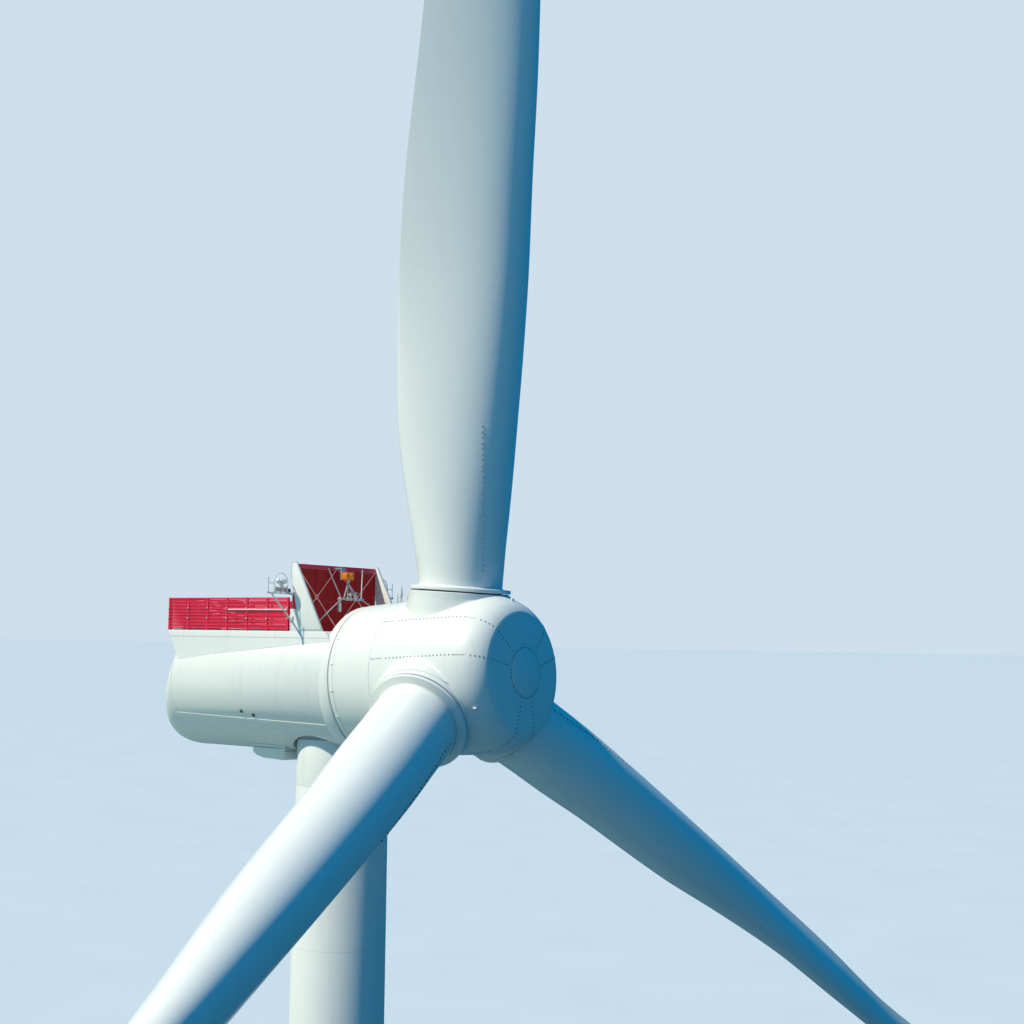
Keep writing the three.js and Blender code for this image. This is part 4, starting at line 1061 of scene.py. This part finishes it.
def station_at(distance):
    """The blade's station values at a distance, on a smooth curve through the stations."""
    table = BLADE_STATIONS
    k = 0
    while k < len(table) - 2 and distance > table[k + 1][0]:
        k += 1
    before, a, b = table[max(k - 1, 0)], table[k], table[k + 1]
    after = table[min(k + 2, len(table) - 1)]
    span = b[0] - a[0]
    u = (distance - a[0]) / span
    values = []
    for i in range(1, 6):
        slope_a = (b[i] - before[i]) / max(b[0] - before[0], 1e-6) * span
        slope_b = (after[i] - a[i]) / max(after[0] - a[0], 1e-6) * span
        values.append((2 * u ** 3 - 3 * u ** 2 + 1) * a[i] + (u ** 3 - 2 * u ** 2 + u) * slope_a
                      + (3 * u ** 2 - 2 * u ** 3) * b[i] + (u ** 3 - u ** 2) * slope_b)
    return values


def section_point(distance, angle):
    """A point of the blade's skin, in the blade's frame."""
    chord, ratio, twist, axis, upwind = station_at(distance)
    roundness = min(1, max(0, 1 - (distance - 1) / 12)) ** 1.3
    theta = math.radians(twist)
    x = (1 - math.cos(angle)) / 2
    foil = 5 * (0.2969 * math.sqrt(x) - 0.126 * x - 0.3516 * x ** 2 + 0.2843 * x ** 3
                - 0.1016 * x ** 4)
    circle = math.sqrt(max(0, x * (1 - x)))
    half = chord * ratio * ((1 - roundness) * foil + roundness * circle)
    across = half if math.sin(angle) >= 0 else -half
    along = chord * (axis - x)
    return Vector((
        along * math.sin(theta) + across * math.cos(theta) + upwind,
        along * math.cos(theta) - across * math.sin(theta),
        ROOT + distance,
    ))


def skin_direction(distance, angle):
    """A point of the blade's skin, and a direction square to the skin, outwards or inwards."""
    point = section_point(distance, angle)
    around = section_point(distance, angle + 0.02) - section_point(distance, angle - 0.02)
    return point, around.cross(section_point(distance + 0.05, angle) - point)


def build_blade(index):
    number = index + 1
    steps = []
    for near, far in zip(BLADE_STATIONS, BLADE_STATIONS[1:]):
        parts = max(2, round((far[0] - near[0]) / 0.9))
        steps += [near[0] + (far[0] - near[0]) * i / parts for i in range(parts)]
    steps.append(BLADE_STATIONS[-1][0])
    rings = [[section_point(distance, angle) for angle in angles(SECTION_POINTS)]
             for distance in steps]
    skin = loft("blade_%d_skin" % number, rings)
    blade_piece(skin, index, blade_white, ["blade_%d" % number], sharp=50)
    ring_foot = COLLAR_TOP + 0.06
    inner = 1.7 + 0.008
    ring = turned("blade_root_lip_%d" % number, [
        (inner, ring_foot), (COLLAR_RADIUS - 0.02, ring_foot), (COLLAR_RADIUS, ring_foot + 0.02),
        (COLLAR_RADIUS, ring_foot + 0.11), (COLLAR_RADIUS - 0.01, ring_foot + 0.135),
        (COLLAR_RADIUS - 0.035, ring_foot + 0.15), (inner + 0.05, ring_foot + 0.165),
        (inner + 0.015, ring_foot + 0.185), (inner, ring_foot + 0.22), (inner, ring_foot),
    ])
    blade_piece(ring, index, spinner_white, ["blade_root_ring_%d" % number])
    build_blade_details(index, number)


def build_blade_details(index, number):
    """Vortex vanes along the root half, and lightning receptors near the tip."""
    vane = slab("vane", (-0.006, -0.05, -0.004), (0.006, 0.05, 0.04), 0.003)
    places = []
    for i in range(27):
        distance = 0.9 + 0.22 * i
        point, outward = skin_direction(distance, 1.01 + 0.0265 * distance)
        if outward.dot(point - Vector((0, 0, point.z))) < 0:
            outward = -outward
        skew = Matrix.Rotation(0.35 if i % 2 else -0.35, 4, "Z")
        places.append(standing(point, outward) @ Matrix.Rotation(math.pi / 2, 4, "Z") @ skew)
    blade_piece(scattered("blade_%d_vanes" % number, vane, places), index, bolt_grey)
    studs = []
    for distance in (58.0, 66.0, 72.0, 76.0):
        for angle in (1.15, 2 * math.pi - 1.15):
            point, outward = skin_direction(distance, angle)
            if outward.x * math.copysign(1, math.sin(angle)) < 0:
                outward = -outward
            studs.append(turned("stud", [
                (0.02, 0.0), (0.07, 0.0), (0.07, 0.008), (0.05, 0.014), (0.01, 0.014),
            ], 16, standing(point, outward)))
    studs = merged("blade_%d_receptors" % number, studs)
    blade_piece(studs, index, galvanised)


# Rotor. Rays are cast at the spinner from OUTSIDE, a distance beyond all of it.

ROUND = 160
OUTSIDE = 6


def hit_side(skin, spoke, x):
    return hit(skin, spoke * OUTSIDE + Vector((x, 0, 0)), -spoke)


def hit_front(skin, spoke, radius):
    return hit(skin, spoke * radius + Vector((OUTSIDE, 0, 0)), Vector((-1, 0, 0)))


def nose_profile():
    """The nose's superellipse, from the drum to the flat face."""
    power = 2 / 2.88
    steps = 28
    profile = []
    for i in range(steps + 1):
        angle = math.pi / 2 * i / steps
        along = math.sin(angle) ** power if i else 0.0
        inward = math.cos(angle) ** power if i < steps else 0.0
        profile.append((
            FACE_RADIUS + (DRUM_RADIUS - FACE_RADIUS) * inward,
            CURVE_X + (NOSE_X - CURVE_X) * along,
        ))
    return profile


def build_spinner():
    start = GENERATOR_FRONT - 0.5
    rim = [point for point in nose_profile() if point[0] > DISC_RADIUS - 0.5]
    edge_x = disc_edge()
    pieces = [turned("spinner_skin", [(DRUM_RADIUS, start)] + rim, ROUND, ALONG_X)]
    boss = [(COLLAR_RADIUS + wider, height) for wider, height in (
        (0.26, 0.4), (0.26, 1.9), (0.15, 2.2), (0.07, 2.5), (0.04, 2.8), (0.02, COLLAR_FOOT - 0.02),
        (0.015, COLLAR_FOOT), (0.012, 3.9),
    )]
    for index in range(BLADES):
        pieces.append(turned("boss", boss, place=blade_turn(index)))
    spinner = merged("spinner_skin", pieces)
    spinner.data.remesh_voxel_size = 0.05
    pick(spinner)
    bpy.ops.object.voxel_remesh()
    apply(spinner, "SMOOTH", factor=0.5, iterations=28)
    pocket = [(COLLAR_RADIUS + 0.06, COLLAR_FOOT - 0.003), (COLLAR_RADIUS + 0.06, 5.0)]
    for index in range(BLADES):
        cut(spinner, turned("pocket", pocket, ROUND, blade_turn(index)))
    cut(spinner, slab("rear", (-6, -5, -5), (GENERATOR_FRONT, 5, 5), 0.001))
    cut(spinner, slab("front", (edge_x - 0.012, -5, -5), (6, 5, 5), 0.001))
    disc = turned("nose_disc", nose_disc_profile(edge_x), ROUND, ALONG_X)
    skin = skin_of(spinner, disc)
    rotor_piece(spinner, spinner_white, ["spinner_shell"], sharp=35)
    rotor_piece(disc, spinner_white, sharp=20)
    return skin


def disc_edge():
    """How far forward the nose disc's rim lies."""
    profile = nose_profile()
    for (wide, near), (narrow, far) in zip(profile, profile[1:]):
        if narrow <= DISC_RADIUS:
            return near + (far - near) * (wide - DISC_RADIUS) / (wide - narrow)
    return NOSE_X


def nose_disc_profile(edge_x):
    lip = DISC_RADIUS - 0.008
    profile = [(0.9, edge_x - 0.1), (lip, edge_x - 0.1), (lip, edge_x - 0.006),
               (lip - 0.012, edge_x)]
    steps = 8
    for i in range(1, steps + 1):
        radius = lip - 0.012 + (1.0 - DISC_RADIUS) * i / steps
        share = (radius / DISC_RADIUS) ** 2
        profile.append((radius, NOSE_X - (NOSE_X - edge_x) * share))
    return profile + [(0.03, NOSE_X)]


def spinner_path(skin, clock, nearest):
    """Points over the spinner at one clock angle: forward along the drum, then in over the nose."""
    spoke = spoke_at(clock)
    path = []
    x = GENERATOR_FRONT + 0.2
    while x < CURVE_X + 1.5:
        path.append(hit_side(skin, spoke, x))
        x += 0.02
    path = [place for place in path if place[0]]
    last = path[-1][0]
    radius = math.hypot(last.y, last.z) - 0.01
    while radius > nearest:
        path.append(hit_front(skin, spoke, radius))
        radius -= 0.01
    return [place for place in path if place[0]]


def spaced(path, step):
    """Every point of a path that lies a step further on than the one before."""
    chosen = [path[0]]
    gone = 0.0
    for before, here in zip(path, path[1:]):
        gone += (here[0] - before[0]).length
        if gone >= step:
            chosen.append(here)
            gone = 0.0
    return chosen


def build_spinner_bolts(skin):
    """Bolt rows beside the three inspection panels, round the cap, and slots at the row ends."""
    bolts, slots, lugs = [], [], []
    slot_groups = (GENERATOR_FRONT + 0.3, 2.3)
    for index in range(BLADES):
        third = index * 2 * math.pi / BLADES
        for side in (-1, 1):
            clock = math.pi / BLADES + third + side * (PANEL_HALF_ANGLE + 0.008)
            for point, normal in spaced(spinner_path(skin, clock, 1.06), 0.165):
                if not any(abs(point.x - start - 0.2) < 0.24 for start in slot_groups):
                    bolts.append((point, normal))
            for start in slot_groups:
                for i in range(4):
                    place = standing(*hit_side(skin, spoke_at(clock), start + 0.11 * i))
                    slots.append(place @ Matrix.Rotation(clock, 4, "Z"))
        lug = spoke_at(third + math.radians(123.4))
        lugs.append(standing(*hit_side(skin, lug, 2.85)))
    bolts += [hit_front(skin, spoke_at(angle), 0.99) for angle in angles(44)]
    rotor_piece(bolt_row("spinner_bolts", bolts, 0.027, 0.012), bolt_grey)
    slot = slab("slot", (-0.014, -0.05, -0.01), (0.014, 0.05, 0.006), 0.004)
    rotor_piece(scattered("spinner_slots", slot, slots), bolt_grey)
    lug = slab("lug", (-0.07, -0.03, -0.02), (0.07, 0.03, 0.09), 0.02)
    rotor_piece(scattered("spinner_lugs", lug, lugs), pale)


def build_collar_fillets(skin):
    """A smooth fillet round each collar, from its wall out onto the spinner's skin."""
    steps = 120
    inner, outer = COLLAR_RADIUS - 0.003, COLLAR_RADIUS + 0.14
    section = ((inner, -0.06), (inner, 0.05), (inner + 0.02, 0.032), (inner + 0.055, 0.018),
               (inner + 0.1, 0.008), (outer, -0.006), (outer, -0.06))
    for index in range(BLADES):
        turn = blade_turn(index)
        upright = turn.transposed()
        heights = []
        for angle in angles(steps):
            origin = turn @ Vector((outer * math.cos(angle), outer * math.sin(angle), OUTSIDE))
            heights.append((upright @ hit(skin, origin, -turn.col[2].xyz)[0]).z)
        rings = []
        for k, angle in enumerate(angles(steps)):
            height = sum(heights[(k + near) % steps] for near in range(-2, 3)) / 5
            rings.append([(reach * math.cos(angle), reach * math.sin(angle), height + rise)
                          for reach, rise in section])
        fillet = loft("collar_fillet_%d" % (index + 1), rings, closed=True)
        rotor_piece(fillet, spinner_white, sharp=70, place=blade_place(index))


def build_rotor():
    def turned_piece(name, profile, material=drum_white, nodes=(), steps=ROUND):
        rotor_piece(turned(name, profile, steps), material, nodes,
                    place=ROTOR_PLACE @ ALONG_X)

    turned_piece("generator_band_skin", [
        (1.2, GENERATOR_REAR), (REAR_RADIUS - 0.05, GENERATOR_REAR),
        (REAR_RADIUS - 0.015, GENERATOR_REAR + 0.012), (REAR_RADIUS, GENERATOR_REAR + 0.05),
        (REAR_RADIUS, BAND_FRONT - 0.02), (REAR_RADIUS - 0.02, BAND_FRONT - 0.003),
        (1.2, BAND_FRONT - 0.003),
    ], nodes=["generator_band"])
    turned_piece("generator_drum_skin", [
        (1.2, BAND_FRONT), (REAR_RADIUS - 0.01, BAND_FRONT),
        (REAR_RADIUS + 0.01, BAND_FRONT + 0.02), (DRUM_RADIUS, GENERATOR_FRONT - 0.02),
        (DRUM_RADIUS - 0.015, GENERATOR_FRONT - 0.003), (1.2, GENERATOR_FRONT - 0.003),
    ], nodes=["generator_shell"])
    turned_piece("generator_joint_strip", [
        (DRUM_RADIUS - 0.03, -2.07), (DRUM_RADIUS + 0.008, -2.07), (DRUM_RADIUS + 0.014, -2.06),
        (DRUM_RADIUS + 0.014, -1.87), (DRUM_RADIUS + 0.008, -1.86), (DRUM_RADIUS - 0.03, -1.86),
        (DRUM_RADIUS - 0.03, -2.07),
    ])
    clip = slab("clip", (-0.035, -0.12, -0.02), (0.035, 0.06, 0.022), 0.01)
    clips = []
    for i in range(18):
        angle = math.radians(-97.5 + 20 * i)
        spoke = spoke_at(angle)
        rows = (Vector((0, math.cos(angle), -math.sin(angle))), Vector((-1, 0, 0)), spoke)
        turn = Matrix(rows).transposed().to_4x4()
        clips.append(Matrix.Translation(spoke * REAR_RADIUS + Vector((-3.86, 0, 0))) @ turn)
    rotor_piece(scattered("band_clips", clip, clips), pale)
    turned_piece("nose_cap_skin", [
        (0.93, NOSE_X - 0.05), (0.93, NOSE_X + 0.012), (0.91, NOSE_X + 0.022),
        (0.4, NOSE_X + 0.04), (0.385, NOSE_X + 0.032), (0.37, NOSE_X + 0.032),
        (0.355, NOSE_X + 0.04), (0.02, NOSE_X + 0.04),
    ], spinner_white, ["nose_cap"], 96)
    for index in range(BLADES):
        place, number = blade_place(index), index + 1
        collar = turned("pitch_collar_skin_%d" % number, [
            (1.0, COLLAR_FOOT), (COLLAR_RADIUS, COLLAR_FOOT), (COLLAR_RADIUS, COLLAR_TOP - 0.02),
            (COLLAR_RADIUS - 0.02, COLLAR_TOP), (1.0, COLLAR_TOP),
        ])
        rotor_piece(collar, spinner_white, ["pitch_collar_%d" % number], place=place)
        seal = turned("pitch_seal_%d" % number, [
            (1.76, COLLAR_TOP - 0.02), (1.97, COLLAR_TOP - 0.02), (1.97, COLLAR_TOP + 0.03),
            (1.95, COLLAR_TOP + 0.045), (1.76, COLLAR_TOP + 0.045), (1.76, COLLAR_TOP - 0.02),
        ])
        rotor_piece(seal, dark_grey, place=place)


# Stage.


def build_stage():
    floor = primitive("floor", bpy.ops.mesh.primitive_circle_add,
                      vertices=128, radius=1500, location=(0, 0, -1.75), fill_type="NGON")
    material = bpy.data.materials.new("pale floor")
    material.use_nodes = True
    tree = Tree(material.node_tree)
    shader = material.node_tree.nodes["Principled BSDF"]
    coordinates = tree.new("TexCoord").outputs["Object"]
    tone = tree.noise(coordinates, 0.6, 4.0)
    seen = tree.blend(tone, (0.52, 0.6, 0.66, 1), (0.58, 0.66, 0.72, 1))
    seen_by = tree.new("LightPath").outputs
    x, y, _ = tree.split(coordinates)
    # Painted bounce light: to all rays but the camera's, the floor is dark blue away from the sun
    # and pale green-grey towards it, a painted reflection that lights the object from below.
    sunward = tree.math("ADD", tree.times(x, -0.75), tree.times(y, -0.66))
    painted_glint_share = tree.spread(sunward, 0.5, 5.0)
    painted_bounce_colour = tree.blend(painted_glint_share, (0.002, 0.08, 0.15, 1), (0.4, 0.52, 0.45, 1))
    tree.link(tree.blend(seen_by["Is Camera Ray"], painted_bounce_colour, seen), shader.inputs["Base Color"])
    shader.inputs["Roughness"].default_value = 0.9
    floor.data.materials.append(material)
    world = bpy.data.worlds.new("studio")
    bpy.context.scene.world = world
    bpy.context.scene.view_settings.view_transform = "Standard"
    world.use_nodes = True
    tree = Tree(world.node_tree)
    seen_by = tree.new("LightPath").outputs
    sky = tree.blend(seen_by["Is Camera Ray"], (0.0, 0.185, 0.43, 1), (0.62, 0.74, 0.84, 1))
    background = world.node_tree.nodes["Background"]
    tree.link(sky, background.inputs["Color"])
    background.inputs["Strength"].default_value = 1.0
    sun = bpy.data.lights.new("sun", "SUN")
    sun.energy = 4.25
    sun.angle = math.radians(1.5)
    sun.color = (1.0, 0.92, 0.74)
    towards = Vector((-0.51, -0.86, 1.32))
    in_scene("sun", sun).rotation_euler = towards.to_track_quat("Z", "Y").to_euler()


def build_camera():
    camera = bpy.data.cameras.new("camera")
    camera.sensor_width = 36
    camera.lens = 57.05
    camera.clip_end = 4000
    obj = in_scene("camera", camera)
    yaw, pitch, roll = math.radians(124.97), math.radians(4.58), math.radians(0.92)
    level = math.cos(pitch)
    forward = Vector((level * math.cos(yaw), level * math.sin(yaw), math.sin(pitch)))
    obj.rotation_mode = "QUATERNION"
    unrolled = forward.to_track_quat("-Z", "Y")
    obj.rotation_quaternion = Matrix.Rotation(-roll, 3, forward).to_quaternion() @ unrolled
    obj.location = (4.5158, -5.2448, 2.7053)
    bpy.context.scene.camera = obj


for node, material in {
    "tower_floor": grey, "yaw_ring": grey, "main_bearing": dark_grey, "deck_floor": grey,
    "rail_right": rail_red, "rail_left": rail_red, "rail_rear": rail_red,
    "fin_gusset_right": shell_white, "fin_gusset_left": shell_white,
    "sensor_frame": galvanised, "beacon_bracket": galvanised, "antenna_rack": pale,
}.items():
    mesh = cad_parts[node].data
    mesh.materials.clear()
    mesh.materials.append(material)

build_camera()
build_stage()
build_tower()
build_canopy()
build_deck()
build_cooler()
build_fins()
build_instruments()
build_stays()
build_light_brackets()
build_lamps()
build_antennas()
for index in range(BLADES):
    build_blade(index)
build_rotor()
spinner = build_spinner()
build_spinner_bolts(spinner)
build_collar_fillets(spinner)
